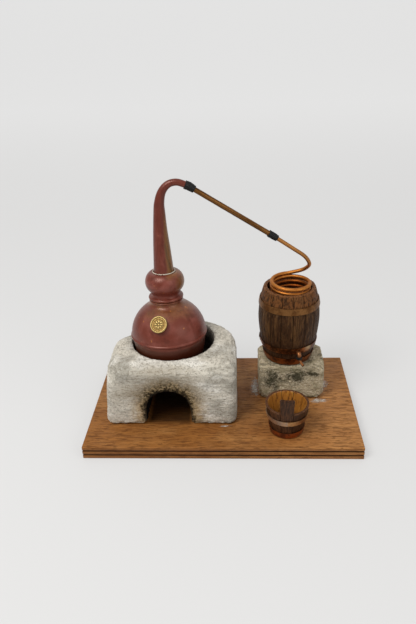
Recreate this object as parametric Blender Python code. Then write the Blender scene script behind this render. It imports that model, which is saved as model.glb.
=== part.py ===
"""Miniature alembic still on a display board.

A copper pot sits in a stone furnace. Its head, swan neck and lyne arm carry a copper worm into an
open wooden barrel on a stone block, and a wooden bucket stands under the barrel's spout.
Frame: origin at the centre of the board's underside, +X along the board, +Y to its back, +Z up.
Lengths are in metres.
"""
import math

import bmesh
import bpy
from mathutils import Matrix, Vector

GAP = 0.0003                       # clearance between pieces that touch

# Board
BOARD_WIDTH = 0.250
BOARD_DEPTH = 0.148
BOARD_TOP = 0.0125
BOARD_GROOVE_DEPTH = 0.0008
BOARD_BANDS = 3                    # bands of the edge, parted by grooves
BOARD_GROOVE_WIDTH = 0.0009
BOARD_EDGE_ROUND = 0.0005

# Furnace
FURNACE_LEFT = -0.1040             # at the top
FURNACE_RIGHT = 0.0143
FURNACE_FLARE = 0.0055             # how far the foot stands out to the left of the top
FURNACE_FRONT = -0.0430
FURNACE_SIDE_END = 0.0030          # y where the straight sides turn into the round back
FURNACE_BACK = 0.0530
FURNACE_CORNER = 0.0080
FURNACE_HEIGHT = 0.0640
FURNACE_TOP_ROUND = 0.0040
FURNACE_FOOT_ROUND = 0.0015
RECESS_X = -0.0468
RECESS_Y = 0.0105
RECESS_RADIUS = 0.0383
RECESS_LIP = 0.0025
RECESS_STRAIGHT = 0.0120           # depth over which the recess hardly narrows
RECESS_DRAFT = 0.0006
SEAT_RADIUS = 0.0345
SEAT_HEIGHT = 0.0395               # above the board
FLUE_RADIUS = 0.0200
ARCH_X = -0.0492
ARCH_RADIUS = 0.0199
ARCH_SPRING = 0.0166               # above the board
ARCH_DEPTH = 0.0800

# Pot, head and neck; the heights are above the board, along the still's leaning axis
STILL_X = -0.0493                  # middle of the pot's foot
STILL_Y = 0.0063
LEAN_BACK = math.radians(3.0)
LEAN_LEFT = math.radians(1.2)
STILL_SEGMENTS = 32
POT_FOOT_RADIUS = 0.0240
POT_BASE = SEAT_HEIGHT + POT_FOOT_RADIUS * math.sin(LEAN_BACK + LEAN_LEFT) + GAP
RIB_HEIGHT = 0.0725
RIB_RADIUS = 0.0358
DOME_RADIUS = 0.0350
DOME_RISE = 0.0330
POT_NECK_RADIUS = 0.0150
LIP_RADIUS = 0.0156
LIP_HEIGHT = 0.1070
SHEET = 0.0012                     # copper wall
SPIGOT_DEPTH = 0.0045
COLLAR_RADIUS = 0.0160
COLLAR_HEIGHT = 0.1089
COLLAR_THICK = 0.0016
WAIST_RADIUS = 0.0130
WAIST_HEIGHT = 0.1135
BULB_RADIUS = 0.0179
BULB_HEIGHT = 0.1236
HEAD_TOP = 0.1326
NECK_BASE = HEAD_TOP + GAP
NECK_BASE_RADIUS = 0.0091
NECK_END_RADIUS = 0.0029
NECK_WALL = 0.0007
SOLDER_RADIUS = 0.0005

# Lyne arm and worm
ARM_RADIUS = 0.0023
WORM_RADIUS = 0.0018
TUBE_WALL = 0.0005
WRAP_WALL = 0.0006
WRAP_FIT = 0.0004                  # clearance of a wrap round its tubes
BUTT_GAP = 0.0004                  # between the tube ends inside a wrap
ARM_END = (0.0475, 0.0215, 0.1735)
COIL_X = 0.0644
COIL_Y = 0.0225
COIL_RADIUS = 0.0175
COIL_TOP = 0.1163                  # height of the tube's middle where the coil starts
COIL_PITCH = 0.0048
COIL_TURNS = 8
COIL_STEPS = 14                    # points in a turn
TAIL_END = 0.0612                  # height of the worm's open end
TAIL_REACH = 0.0168                # from the barrel's axis to the worm's end

# Barrel
BARREL_X = 0.0636
BARREL_Y = 0.0225
BARREL_BASE_RADIUS = 0.0219
BARREL_BELLY_RADIUS = 0.0289
BARREL_RIM_RADIUS = 0.0241
BLOCK_HEIGHT = 0.0380
BARREL_BASE = BLOCK_HEIGHT + GAP
BARREL_BELLY = 0.0815
BARREL_RIM = 0.1117
STAVES = 16
STAVE_THICK = 0.0032
CROZE_DEPTH = 0.0008
HEAD_BOARD_BASE = 0.0415           # underside of the barrel's bottom
HEAD_BOARD_THICK = 0.0030
HOOP_THICK = 0.0006
HOOPS = (("barrel_hoop_upper", 0.0945, 0.1005), ("barrel_hoop_lower", 0.0525, 0.0586),
         ("barrel_hoop_base", 0.0388, 0.0460))

# Outlet
OUTLET_ANGLE = math.radians(-75.0)
OUTLET_HEIGHT = 0.0555
OUTLET_RADIUS = 0.0020
OUTLET_REACH = 0.0318              # from the barrel's axis to the elbow's drop
CUP_RADIUS = 0.0030
CUP_DROP = 0.0004                  # from the worm's open end down to the cup's rim
CUP_DEPTH = 0.0022
SPOUT_RADIUS = 0.0013
SPOUT_WALL = 0.0004
SPOUT_TIP = (0.0752, -0.0140, 0.0588)
BAND_WALL = 0.0006
RIVET_HEAD_RADIUS = 0.0012
RIVET_HEAD = 0.0010                # how far the head stands out
RIVET_SHANK_RADIUS = 0.0004
RIVET_DEPTH = 0.0020
RIVETS = (("hoop_rivet_lower", "barrel_hoop_lower", 11), ("hoop_rivet_upper", "barrel_hoop_upper", 8),
          ("hoop_rivet_base", "barrel_hoop_base", 9))     # name, hoop, stave behind the hoop's lap

# Stone block under the barrel
BLOCK_LEFT = 0.0337
BLOCK_RIGHT = 0.0985
BLOCK_FRONT = -0.0030
BLOCK_BACK = 0.0500
BLOCK_CORNER = 0.0060
BLOCK_EDGE = 0.0022

# Bucket
BUCKET_X = 0.0586
BUCKET_Y = -0.0475
BUCKET_BASE_RADIUS = 0.0142
BUCKET_RIM_RADIUS = 0.0196
BUCKET_HEIGHT = 0.0300
BUCKET_STAVES = 10
BUCKET_STAVE_THICK = 0.0022
BUCKET_HANDLE_ANGLE = math.radians(-95.0)
BUCKET_HANDLE_HEIGHT = 0.0465
BUCKET_BOTTOM = 0.0030
BUCKET_BOTTOM_THICK = 0.0025
BUCKET_HOOPS = (("bucket_hoop_upper", 0.0165, 0.0215), ("bucket_hoop_lower", 0.0010, 0.0068))

# Brass disc on the dome
DISC_RADIUS = 0.0078
DISC_THICK = 0.0016
DISC_ANGLE = math.radians(-98.4)
DISC_HEIGHT = 0.0920              # above the board, along the still
SEAT_STUD_RADIUS = 0.0035
SEAT_STUD_LENGTH = 0.0014


def clear_scene():
    for item in list(bpy.data.objects):
        bpy.data.objects.remove(item, do_unlink=True)


def material(name, colour, roughness, metallic=0.0):
    made = bpy.data.materials.new(name)
    made.use_nodes = True
    shader = made.node_tree.nodes["Principled BSDF"]
    shader.inputs["Base Color"].default_value = (*colour, 1.0)
    shader.inputs["Roughness"].default_value = roughness
    shader.inputs["Metallic"].default_value = metallic
    return made


def put(item, finish, parent=None, location=(0, 0, 0)):
    """Link an object, give it its finish and place it under its parent."""
    item.data.materials.append(finish)
    bpy.context.scene.collection.objects.link(item)
    item.parent = parent
    item.location = location
    return item


def from_bmesh(name, bm, finish, parent=None, location=(0, 0, 0), smooth=True):
    bmesh.ops.recalc_face_normals(bm, faces=bm.faces)
    mesh = bpy.data.meshes.new(name)
    bm.to_mesh(mesh)
    bm.free()
    if smooth:
        mesh.shade_smooth()
        mesh.set_sharp_from_angle(angle=math.radians(35))
    return put(bpy.data.objects.new(name, mesh), finish, parent, location)


def empty(name, location, parent=None):
    made = bpy.data.objects.new(name, None)
    bpy.context.scene.collection.objects.link(made)
    made.parent = parent
    made.location = location
    return made


def turned_mesh(profile, closed, segments):
    """Spin a profile of (radius, height) points once round Z.

    An open profile starts and ends on the axis. A closed one is a ring's section.
    """
    bm = bmesh.new()
    verts = [bm.verts.new((radius, 0, height)) for radius, height in profile]
    for first, second in zip(verts, verts[1:]):
        bm.edges.new((first, second))
    if closed:
        bm.edges.new((verts[-1], verts[0]))
    bmesh.ops.spin(bm, geom=bm.verts[:] + bm.edges[:], cent=(0, 0, 0), axis=(0, 0, 1),
                   angle=math.tau, steps=segments, use_merge=True)
    bmesh.ops.remove_doubles(bm, verts=bm.verts, dist=1e-6)
    return bm


def sector_mesh(outline, start, end, steps):
    """Sweep a closed outline of (radius, height) points round Z from one angle to another."""
    bm = bmesh.new()
    section = bm.faces.new([bm.verts.new((radius, 0, height)) for radius, height in outline])
    bmesh.ops.rotate(bm, verts=bm.verts, cent=(0, 0, 0), matrix=Matrix.Rotation(start, 3, "Z"))
    bmesh.ops.spin(bm, geom=[section] + section.edges[:] + section.verts[:], cent=(0, 0, 0),
                   axis=(0, 0, 1), angle=end - start, steps=steps)
    return bm


def stacked_mesh(rings):
    """Join closed rings of points, each with the same count, and cap both ends."""
    bm = bmesh.new()
    loops = [[bm.verts.new(point) for point in ring] for ring in rings]
    for lower, upper in zip(loops, loops[1:]):
        for index in range(len(lower)):
            bm.faces.new((lower[index - 1], lower[index], upper[index], upper[index - 1]))
    bm.faces.new(loops[0][::-1])
    bm.faces.new(loops[-1])
    return bm


def arc(centre, radius, start, end, steps):
    """Points of an arc, with the angles in degrees."""
    angles = [math.radians(start + (end - start) * step / steps) for step in range(steps + 1)]
    return [(centre[0] + radius * math.cos(a), centre[1] + radius * math.sin(a)) for a in angles]


def smooth_path(points, pieces):
    """Catmull-Rom curve through points, each a tuple of equal length."""
    ends = [[2 * a - b for a, b in zip(points[0], points[1])]]
    tail = [[2 * a - b for a, b in zip(points[-1], points[-2])]]
    knots = ends + [list(point) for point in points] + tail
    path = []
    for index in range(1, len(knots) - 2):
        p0, p1, p2, p3 = knots[index - 1:index + 3]
        for step in range(pieces):
            t = step / pieces
            path.append(tuple(
                0.5 * (2 * b + (c - a) * t + (2 * a - 5 * b + 4 * c - d) * t ** 2
                       + (3 * b - a - 3 * c + d) * t ** 3)
                for a, b, c, d in zip(p0, p1, p2, p3)))
    path.append(tuple(points[-1]))
    return path


def pipe(name, path, finish, wall, parent=None, resolution=2, origin=(0, 0, 0)):
    """Open-ended pipe along (x, y, z, outer radius) points, with its wall on the inside."""
    curve = bpy.data.curves.new(name, "CURVE")
    curve.dimensions = "3D"
    curve.twist_mode = "MINIMUM"
    curve.bevel_depth = 1.0
    curve.bevel_resolution = resolution
    spline = curve.splines.new("POLY")
    spline.points.add(len(path) - 1)
    for point, (x, y, z, radius) in zip(spline.points, path):
        point.co = (x - origin[0], y - origin[1], z - origin[2], 1.0)
        point.radius = radius
    made = put(bpy.data.objects.new(name, curve), finish, parent)
    shell = made.modifiers.new("Wall", "SOLIDIFY")
    shell.thickness = wall
    shell.offset = -1.0
    shell.use_even_offset = True
    return made


def cut(target, cutter):
    """Subtract a hidden cutter from a target."""
    cutter.hide_render = True
    cutter.display_type = "WIRE"
    modifier = target.modifiers.new("Cut " + cutter.name, "BOOLEAN")
    modifier.operation = "DIFFERENCE"
    modifier.solver = "EXACT"
    modifier.object = cutter


def rod_mesh(radius, start, end, segments=16):
    """Cylinder between two points."""
    bm = bmesh.new()
    axis = Vector(end) - Vector(start)
    turn = axis.to_track_quat("Z", "Y").to_matrix().to_4x4()
    place = Matrix.Translation((Vector(start) + Vector(end)) / 2) @ turn
    bmesh.ops.create_cone(bm, cap_ends=True, segments=segments, radius1=radius, radius2=radius,
                          depth=axis.length, matrix=place)
    return bm


def turn_by(bm, angle):
    bmesh.ops.rotate(bm, verts=bm.verts, cent=(0, 0, 0), matrix=Matrix.Rotation(angle, 3, "Z"))


def bottom_mesh(radius, base, thickness, sides, first_corner):
    """Flat round bottom whose corners line up with the seams of its staves."""
    bm = turned_mesh([(0, base), (radius, base), (radius, base + thickness), (0, base + thickness)],
                     False, sides)
    turn_by(bm, first_corner)
    return bm


def round_edges(bm, edges, width, segments):
    bmesh.ops.bevel(bm, geom=edges, offset=width, segments=segments, affect="EDGES", profile=0.5,
                    material=-1, clamp_overlap=True)


# ---------------------------------------------------------------- board and stonework

def make_board(finish):
    """Oak board whose edge has grooves all round, drawn upwards level by level."""
    band = (BOARD_TOP - (BOARD_BANDS - 1) * BOARD_GROOVE_WIDTH) / BOARD_BANDS
    levels = [(0.0, BOARD_EDGE_ROUND), (BOARD_EDGE_ROUND, 0.0)]
    height = band
    for _ in range(BOARD_BANDS - 1):
        levels += [(height, 0.0), (height, BOARD_GROOVE_DEPTH),
                   (height + BOARD_GROOVE_WIDTH, BOARD_GROOVE_DEPTH),
                   (height + BOARD_GROOVE_WIDTH, 0.0)]
        height += BOARD_GROOVE_WIDTH + band
    levels += [(BOARD_TOP - BOARD_EDGE_ROUND, 0.0), (BOARD_TOP, BOARD_EDGE_ROUND)]

    def corners(level, inset):
        x, y = BOARD_WIDTH / 2 - inset, BOARD_DEPTH / 2 - inset
        return [(-x, -y, level), (x, -y, level), (x, y, level), (-x, y, level)]

    bm = stacked_mesh([corners(*level) for level in levels])
    return from_bmesh("base_board", bm, finish, smooth=False)


def furnace_outline(left):
    """Plan of the furnace: straight front and sides, a back that follows the pot's recess."""
    inner = FURNACE_FRONT + FURNACE_CORNER
    outline = arc((left + FURNACE_CORNER, inner), FURNACE_CORNER, 180, 270, 4)
    outline += arc((FURNACE_RIGHT - FURNACE_CORNER, inner), FURNACE_CORNER, 270, 360, 4)
    middle = (left + FURNACE_RIGHT) / 2
    steps = 14
    for step in range(steps + 1):
        angle = math.pi * step / steps
        outline.append((middle + (FURNACE_RIGHT - middle) * math.cos(angle),
                        FURNACE_SIDE_END + (FURNACE_BACK - FURNACE_SIDE_END) * math.sin(angle)))
    return outline


def make_furnace(finish):
    foot, crown = BOARD_TOP + GAP, BOARD_TOP + FURNACE_HEIGHT
    bm = stacked_mesh([[(x, y, foot) for x, y in furnace_outline(FURNACE_LEFT - FURNACE_FLARE)],
                       [(x, y, crown) for x, y in furnace_outline(FURNACE_LEFT)]])
    bmesh.ops.recalc_face_normals(bm, faces=bm.faces)
    upper = [edge for edge in bm.edges if all(v.co.z > crown - 1e-5 for v in edge.verts)]
    round_edges(bm, upper, FURNACE_TOP_ROUND, 2)
    lower = [edge for edge in bm.edges if all(v.co.z < foot + 1e-5 for v in edge.verts)]
    round_edges(bm, lower, FURNACE_FOOT_ROUND, 1)
    furnace = from_bmesh("furnace_block", bm, finish)

    over = FURNACE_HEIGHT + 0.010
    lip = arc((RECESS_RADIUS + RECESS_LIP, FURNACE_HEIGHT - RECESS_LIP), RECESS_LIP, 90, 180, 3)
    recess = [(0, over), (RECESS_RADIUS + 2 * RECESS_LIP, over),
              (RECESS_RADIUS + 2 * RECESS_LIP, FURNACE_HEIGHT)] + lip
    recess += [(RECESS_RADIUS - RECESS_DRAFT, FURNACE_HEIGHT - RECESS_STRAIGHT),
               (SEAT_RADIUS, SEAT_HEIGHT), (0, SEAT_HEIGHT)]
    cut(furnace, from_bmesh("recess_cutter", turned_mesh(recess, False, 32), finish,
                            location=(RECESS_X, RECESS_Y, BOARD_TOP)))
    flue = rod_mesh(FLUE_RADIUS, (0, 0, 0.020), (0, 0, SEAT_HEIGHT + 0.004), 24)
    cut(furnace, from_bmesh("flue_cutter", flue, finish, location=(RECESS_X, RECESS_Y, BOARD_TOP)))

    section = [(ARCH_X - ARCH_RADIUS, -0.005), (ARCH_X + ARCH_RADIUS, -0.005)]
    section += arc((ARCH_X, ARCH_SPRING), ARCH_RADIUS, 0, 180, 10)
    bm = bmesh.new()
    face = bm.faces.new([bm.verts.new((x, FURNACE_FRONT - 0.004, BOARD_TOP + z)) for x, z in section])
    grown = bmesh.ops.extrude_face_region(bm, geom=[face])["geom"]
    far = [item for item in grown if isinstance(item, bmesh.types.BMVert)]
    bmesh.ops.translate(bm, verts=far, vec=(0, ARCH_DEPTH + 0.004, 0))
    cut(furnace, from_bmesh("arch_cutter", bm, finish))
    return furnace


def make_block(finish):
    """Squared stone with rounded upright corners."""
    bm = bmesh.new()
    bmesh.ops.create_cube(bm, size=1.0)
    size = (BLOCK_RIGHT - BLOCK_LEFT, BLOCK_BACK - BLOCK_FRONT, BLOCK_HEIGHT - GAP)
    bmesh.ops.scale(bm, vec=size, verts=bm.verts)
    upright = [edge for edge in bm.edges if abs(edge.verts[0].co.z - edge.verts[1].co.z) > 0.01]
    round_edges(bm, upright, BLOCK_CORNER, 3)
    flat = [edge for edge in bm.edges if abs(edge.verts[0].co.z - edge.verts[1].co.z) < 0.001
            and abs(edge.calc_face_angle(0)) > 1.0]
    round_edges(bm, flat, BLOCK_EDGE, 2)
    middle = ((BLOCK_LEFT + BLOCK_RIGHT) / 2, (BLOCK_FRONT + BLOCK_BACK) / 2,
              BOARD_TOP + GAP + size[2] / 2)
    return from_bmesh("barrel_stone", bm, finish, location=middle)


# ---------------------------------------------------------------- pot, head and neck

def dome_radius(height):
    """Outer radius of the pot's dome at a height above the board."""
    rise = min(1.0, (height - RIB_HEIGHT) / DOME_RISE)
    return DOME_RADIUS * math.sqrt(max(0.0, 1 - rise ** 2))


def pot_profile():
    """Half section of the open pot: down its outer side, then up the inner."""
    outer = [(LIP_RADIUS, LIP_HEIGHT), (LIP_RADIUS, LIP_HEIGHT - 0.0012),
             (POT_NECK_RADIUS, LIP_HEIGHT - 0.0020)]
    angle = math.asin(POT_NECK_RADIUS / DOME_RADIUS)
    outer.append((POT_NECK_RADIUS + 0.0003, RIB_HEIGHT + DOME_RISE * math.cos(angle) + 0.0012))
    steps = 8
    for step in range(1, steps + 1):
        turn = angle + (math.pi / 2 - angle) * step / (steps + 0.5)
        outer.append((DOME_RADIUS * math.sin(turn), RIB_HEIGHT + DOME_RISE * math.cos(turn)))
    outer += [(RIB_RADIUS, RIB_HEIGHT + 0.0012), (RIB_RADIUS, RIB_HEIGHT - 0.0012),
              (DOME_RADIUS - 0.0006, RIB_HEIGHT - 0.0026), (0.0338, 0.0650), (0.0324, 0.0560),
              (0.0300, 0.0480), (0.0268, 0.0420), (POT_FOOT_RADIUS, POT_BASE), (0, POT_BASE)]
    inner = [(0, POT_BASE + SHEET), (POT_FOOT_RADIUS - 0.0006, POT_BASE + SHEET),
             (0.0285, 0.0485), (0.0312, 0.0560), (0.0326, 0.0650)]
    for step in range(5):
        turn = math.pi / 2 - (math.pi / 2 - angle) * step / 4.6
        inner.append(((DOME_RADIUS - SHEET) * math.sin(turn),
                      RIB_HEIGHT + (DOME_RISE - SHEET) * math.cos(turn)))
    bore = POT_NECK_RADIUS - SHEET
    inner += [(bore, RIB_HEIGHT + DOME_RISE * math.cos(angle) - 0.0004), (bore, LIP_HEIGHT)]
    return outer, inner


def make_pot(finish, parent):
    outer, inner = pot_profile()
    section = [(radius, height - POT_BASE) for radius, height in outer + inner]
    bm = turned_mesh(section + section[:1], False, STILL_SEGMENTS)
    return from_bmesh("pot_body", bm, finish, parent)


def make_head(finish, solder, parent):
    """Collar and bulb of the head, with a spigot that drops into the pot's mouth."""
    base = LIP_HEIGHT + GAP
    spigot = POT_NECK_RADIUS - SHEET - 0.0005
    collar = arc((COLLAR_RADIUS - COLLAR_THICK, COLLAR_HEIGHT), COLLAR_THICK, 75, -75, 5)
    waist = [(WAIST_RADIUS + 0.0005, COLLAR_HEIGHT + COLLAR_THICK + 0.0002),
             (WAIST_RADIUS, WAIST_HEIGHT)]
    half = BULB_HEIGHT - WAIST_HEIGHT
    bulb = []
    steps = 9
    for step in range(1, steps + 1):
        turn = math.radians(-52 + 118 * step / steps)
        bulb.append((WAIST_RADIUS - 0.0035 + (BULB_RADIUS - WAIST_RADIUS + 0.0035) * math.cos(turn),
                     BULB_HEIGHT + half * math.sin(turn)))
    outer = [(NECK_BASE_RADIUS + 0.0002, HEAD_TOP)] + bulb[::-1] + waist[::-1] + collar
    outer += [(COLLAR_RADIUS - COLLAR_THICK, base), (spigot, base), (spigot, base - SPIGOT_DEPTH)]
    bore = NECK_BASE_RADIUS - NECK_WALL
    inner = [(spigot - SHEET, base - SPIGOT_DEPTH), (spigot - SHEET, WAIST_HEIGHT)]
    inner += [(radius - SHEET, height) for radius, height in bulb[1:-1:2]]
    inner += [(bore, BULB_HEIGHT + half - 0.0022), (bore, HEAD_TOP)]
    section = [(radius, height - base) for radius, height in outer + inner]
    from_bmesh("head_bulb", turned_mesh(section, True, STILL_SEGMENTS), finish, parent)

    ring_radius = NECK_BASE_RADIUS + GAP + SOLDER_RADIUS
    ring = arc((ring_radius, HEAD_TOP + 0.0009 - base), SOLDER_RADIUS, 0, 315, 7)
    from_bmesh("neck_solder_ring", turned_mesh(ring, True, 24), solder, parent)


def still_point(height):
    """Point on the still's leaning axis."""
    rise = height - POT_BASE
    return Vector((STILL_X - rise * math.sin(LEAN_LEFT), STILL_Y + rise * math.sin(LEAN_BACK),
                   BOARD_TOP + POT_BASE + rise * math.cos(LEAN_BACK) * math.cos(LEAN_LEFT)))


def neck_path():
    """Tapered neck: along the still's axis, then a short bend to the right."""
    foot, middle = still_point(NECK_BASE), still_point(0.1540)
    top = middle.lerp(still_point(0.1720), 0.9)
    bend = Vector((top.x, top.y + 0.0012, 0.0))
    stations = [(*foot, NECK_BASE_RADIUS), (*middle, 0.0077), (*top, 0.0064)]
    for right, back, height, radius in (
            (0.0001, 0.0000, 0.1856, 0.0053), (0.0006, 0.0003, 0.1956, 0.0045),
            (0.0034, 0.0006, 0.2052, 0.0037), (0.0092, 0.0010, 0.2116, 0.0032),
            (0.0172, 0.0014, 0.2131, 0.0030), (0.0267, 0.0019, 0.2094, NECK_END_RADIUS)):
        stations.append((bend.x + right, bend.y + back, BOARD_TOP + height, radius))
    return smooth_path(stations, 3)


def arm_ends():
    """Ends of the lyne arm's middle line."""
    end = neck_path()[-1]
    start = Vector(end[:3])
    finish = Vector(ARM_END)
    along = (finish - start).normalized()
    return start + along * BUTT_GAP, finish


def outlet_point(reach, height):
    """Point over the outlet's line at a distance from the barrel's axis."""
    return Vector((BARREL_X + reach * math.cos(OUTLET_ANGLE), BARREL_Y + reach * math.sin(OUTLET_ANGLE),
                   BOARD_TOP + height))


def worm_path():
    """Worm: down from the arm, a turn back over the barrel, the coil, then its tail."""
    start, end = arm_ends()
    along = (end - start).normalized()
    first = end + along * BUTT_GAP
    lead = [(*first, WORM_RADIUS),
            (0.0665, 0.0222, 0.1478 + BOARD_TOP, WORM_RADIUS),
            (0.0762, 0.0246, 0.1400 + BOARD_TOP, WORM_RADIUS),
            (0.0812, 0.0290, 0.1318 + BOARD_TOP, WORM_RADIUS),
            (0.0812, 0.0345, 0.1255 + BOARD_TOP, WORM_RADIUS),
            (0.0755, 0.0385, 0.1200 + BOARD_TOP, WORM_RADIUS)]
    coil = []
    start_angle = math.radians(95)
    steps = COIL_TURNS * COIL_STEPS
    drop = 0.0
    for step in range(steps + 1):
        angle = start_angle + math.tau * step / COIL_STEPS
        share = min(1.0, step / COIL_STEPS)
        drop += COIL_PITCH / COIL_STEPS * (0.35 + 0.65 * share) if step else 0.0
        coil.append((COIL_X + COIL_RADIUS * math.cos(angle), COIL_Y + COIL_RADIUS * math.sin(angle),
                     COIL_TOP + BOARD_TOP - drop, WORM_RADIUS))
    low = coil[-1][2]
    sweep = OUTLET_ANGLE + math.tau - start_angle
    tail = []
    count = 7
    for step in range(1, count + 1):
        angle = start_angle + sweep * step / count
        fall = (low - TAIL_END - BOARD_TOP - 0.004) * (step / count) ** 1.4
        tail.append((COIL_X + COIL_RADIUS * math.cos(angle), COIL_Y + COIL_RADIUS * math.sin(angle),
                     low - fall, WORM_RADIUS))
    foot = outlet_point(TAIL_REACH, TAIL_END)
    drop_end = [(*(foot + Vector((0, 0, 0.0022))), WORM_RADIUS), (*foot, WORM_RADIUS)]
    return smooth_path(lead + [coil[0]], 3)[:-1] + coil + tail + drop_end


def wrap_path(before, after):
    """Sleeve over two butted tubes: (point, tube radius) stations along both."""
    return [(*point, radius + WRAP_FIT + WRAP_WALL) for point, radius in before + after]


def make_neck_and_worm(finishes, parent):
    """Neck, arm, worm and the wraps that bind them, from their own upright empty."""
    origin = parent.matrix_world.translation
    copper, tape, arm_metal, worm_metal = finishes
    neck = neck_path()
    pipe("swan_neck", neck, copper, NECK_WALL, parent, 3, origin)

    start, end = arm_ends()
    arm = [(*start.lerp(end, step / 4), ARM_RADIUS) for step in range(5)]
    pipe("lyne_arm", arm, arm_metal, TUBE_WALL, parent, 2, origin)
    worm = worm_path()
    pipe("worm_coil", worm, worm_metal, TUBE_WALL, parent, 1, origin)

    along = (end - start).normalized()
    before = [(Vector(station[:3]), station[3]) for station in neck[-2:]]
    after = [(start + along * 0.0022, ARM_RADIUS + 0.0004), (start + along * 0.0052, ARM_RADIUS)]
    pipe("joint_wrap_upper", wrap_path(before, after), tape, WRAP_WALL, parent, 4, origin)

    worm_start, worm_next = Vector(worm[0][:3]), Vector(worm[1][:3])
    onward = (worm_next - worm_start).normalized()
    before = [(end - along * 0.0048, ARM_RADIUS), (end, ARM_RADIUS)]
    after = [(worm_start + onward * 0.0012, WORM_RADIUS + 0.0004),
             (worm_start + onward * 0.0040, WORM_RADIUS + 0.0001)]
    pipe("joint_wrap_lower", wrap_path(before, after), tape, WRAP_WALL, parent, 4, origin)


def make_disc(finish, parent):
    """Brass disc with a raised rim and a plain boss, set square to the dome on a stud."""
    radius = dome_radius(DISC_HEIGHT)
    outward = Vector((math.cos(DISC_ANGLE), math.sin(DISC_ANGLE), 0))
    slope = Vector((radius / DOME_RADIUS ** 2, (DISC_HEIGHT - RIB_HEIGHT) / DOME_RISE ** 2)).normalized()
    normal = outward * slope.x + Vector((0, 0, slope.y))
    touch = outward * radius + Vector((0, 0, DISC_HEIGHT - POT_BASE))
    seat = empty("disc_axis", touch, parent)
    seat.rotation_euler = normal.to_track_quat("Z", "X").to_euler()

    stud = rod_mesh(SEAT_STUD_RADIUS, (0, 0, GAP), (0, 0, GAP + SEAT_STUD_LENGTH))
    from_bmesh("disc_stud", stud, finish, seat)
    base = 2 * GAP + SEAT_STUD_LENGTH
    face = base + DISC_THICK
    field, rim = face - 0.0004, face + 0.0003
    profile = [(0, face), (0.0020, face), (0.0023, field), (DISC_RADIUS - 0.0019, field),
               (DISC_RADIUS - 0.0013, rim), (DISC_RADIUS - 0.0006, rim), (DISC_RADIUS, field),
               (DISC_RADIUS, base + 0.0004), (DISC_RADIUS - 0.0005, base), (0, base)]
    from_bmesh("brass_disc", turned_mesh(profile, False, 28), finish, seat)


# ---------------------------------------------------------------- barrel

def barrel_radius(height):
    """Outer radius of the staves at a height above the board."""
    if height < BARREL_BELLY:
        share = (BARREL_BELLY - height) / (BARREL_BELLY - BARREL_BASE)
        return BARREL_BELLY_RADIUS - (BARREL_BELLY_RADIUS - BARREL_BASE_RADIUS) * share ** 1.75
    share = (height - BARREL_BELLY) / (BARREL_RIM - BARREL_BELLY)
    return BARREL_BELLY_RADIUS - (BARREL_BELLY_RADIUS - BARREL_RIM_RADIUS) * share ** 1.9


def stave_outline():
    """Closed section of one stave: up its outer side, down its inner, with the croze groove."""
    rows = 8
    heights = [BARREL_BASE + (BARREL_RIM - BARREL_BASE) * row / rows for row in range(rows + 1)]
    outer = [(barrel_radius(h), h) for h in heights]
    low, high = HEAD_BOARD_BASE - GAP, HEAD_BOARD_BASE + HEAD_BOARD_THICK + GAP
    inside = [(barrel_radius(h) - STAVE_THICK, h) for h in heights[::-1] if h > high + 0.002]
    for height, depth in ((high, 0.0), (high, CROZE_DEPTH), (low, CROZE_DEPTH), (low, 0.0)):
        inside.append((barrel_radius(height) - STAVE_THICK + depth, height))
    inside.append((barrel_radius(BARREL_BASE) - STAVE_THICK, BARREL_BASE))
    return outer + inside


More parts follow.
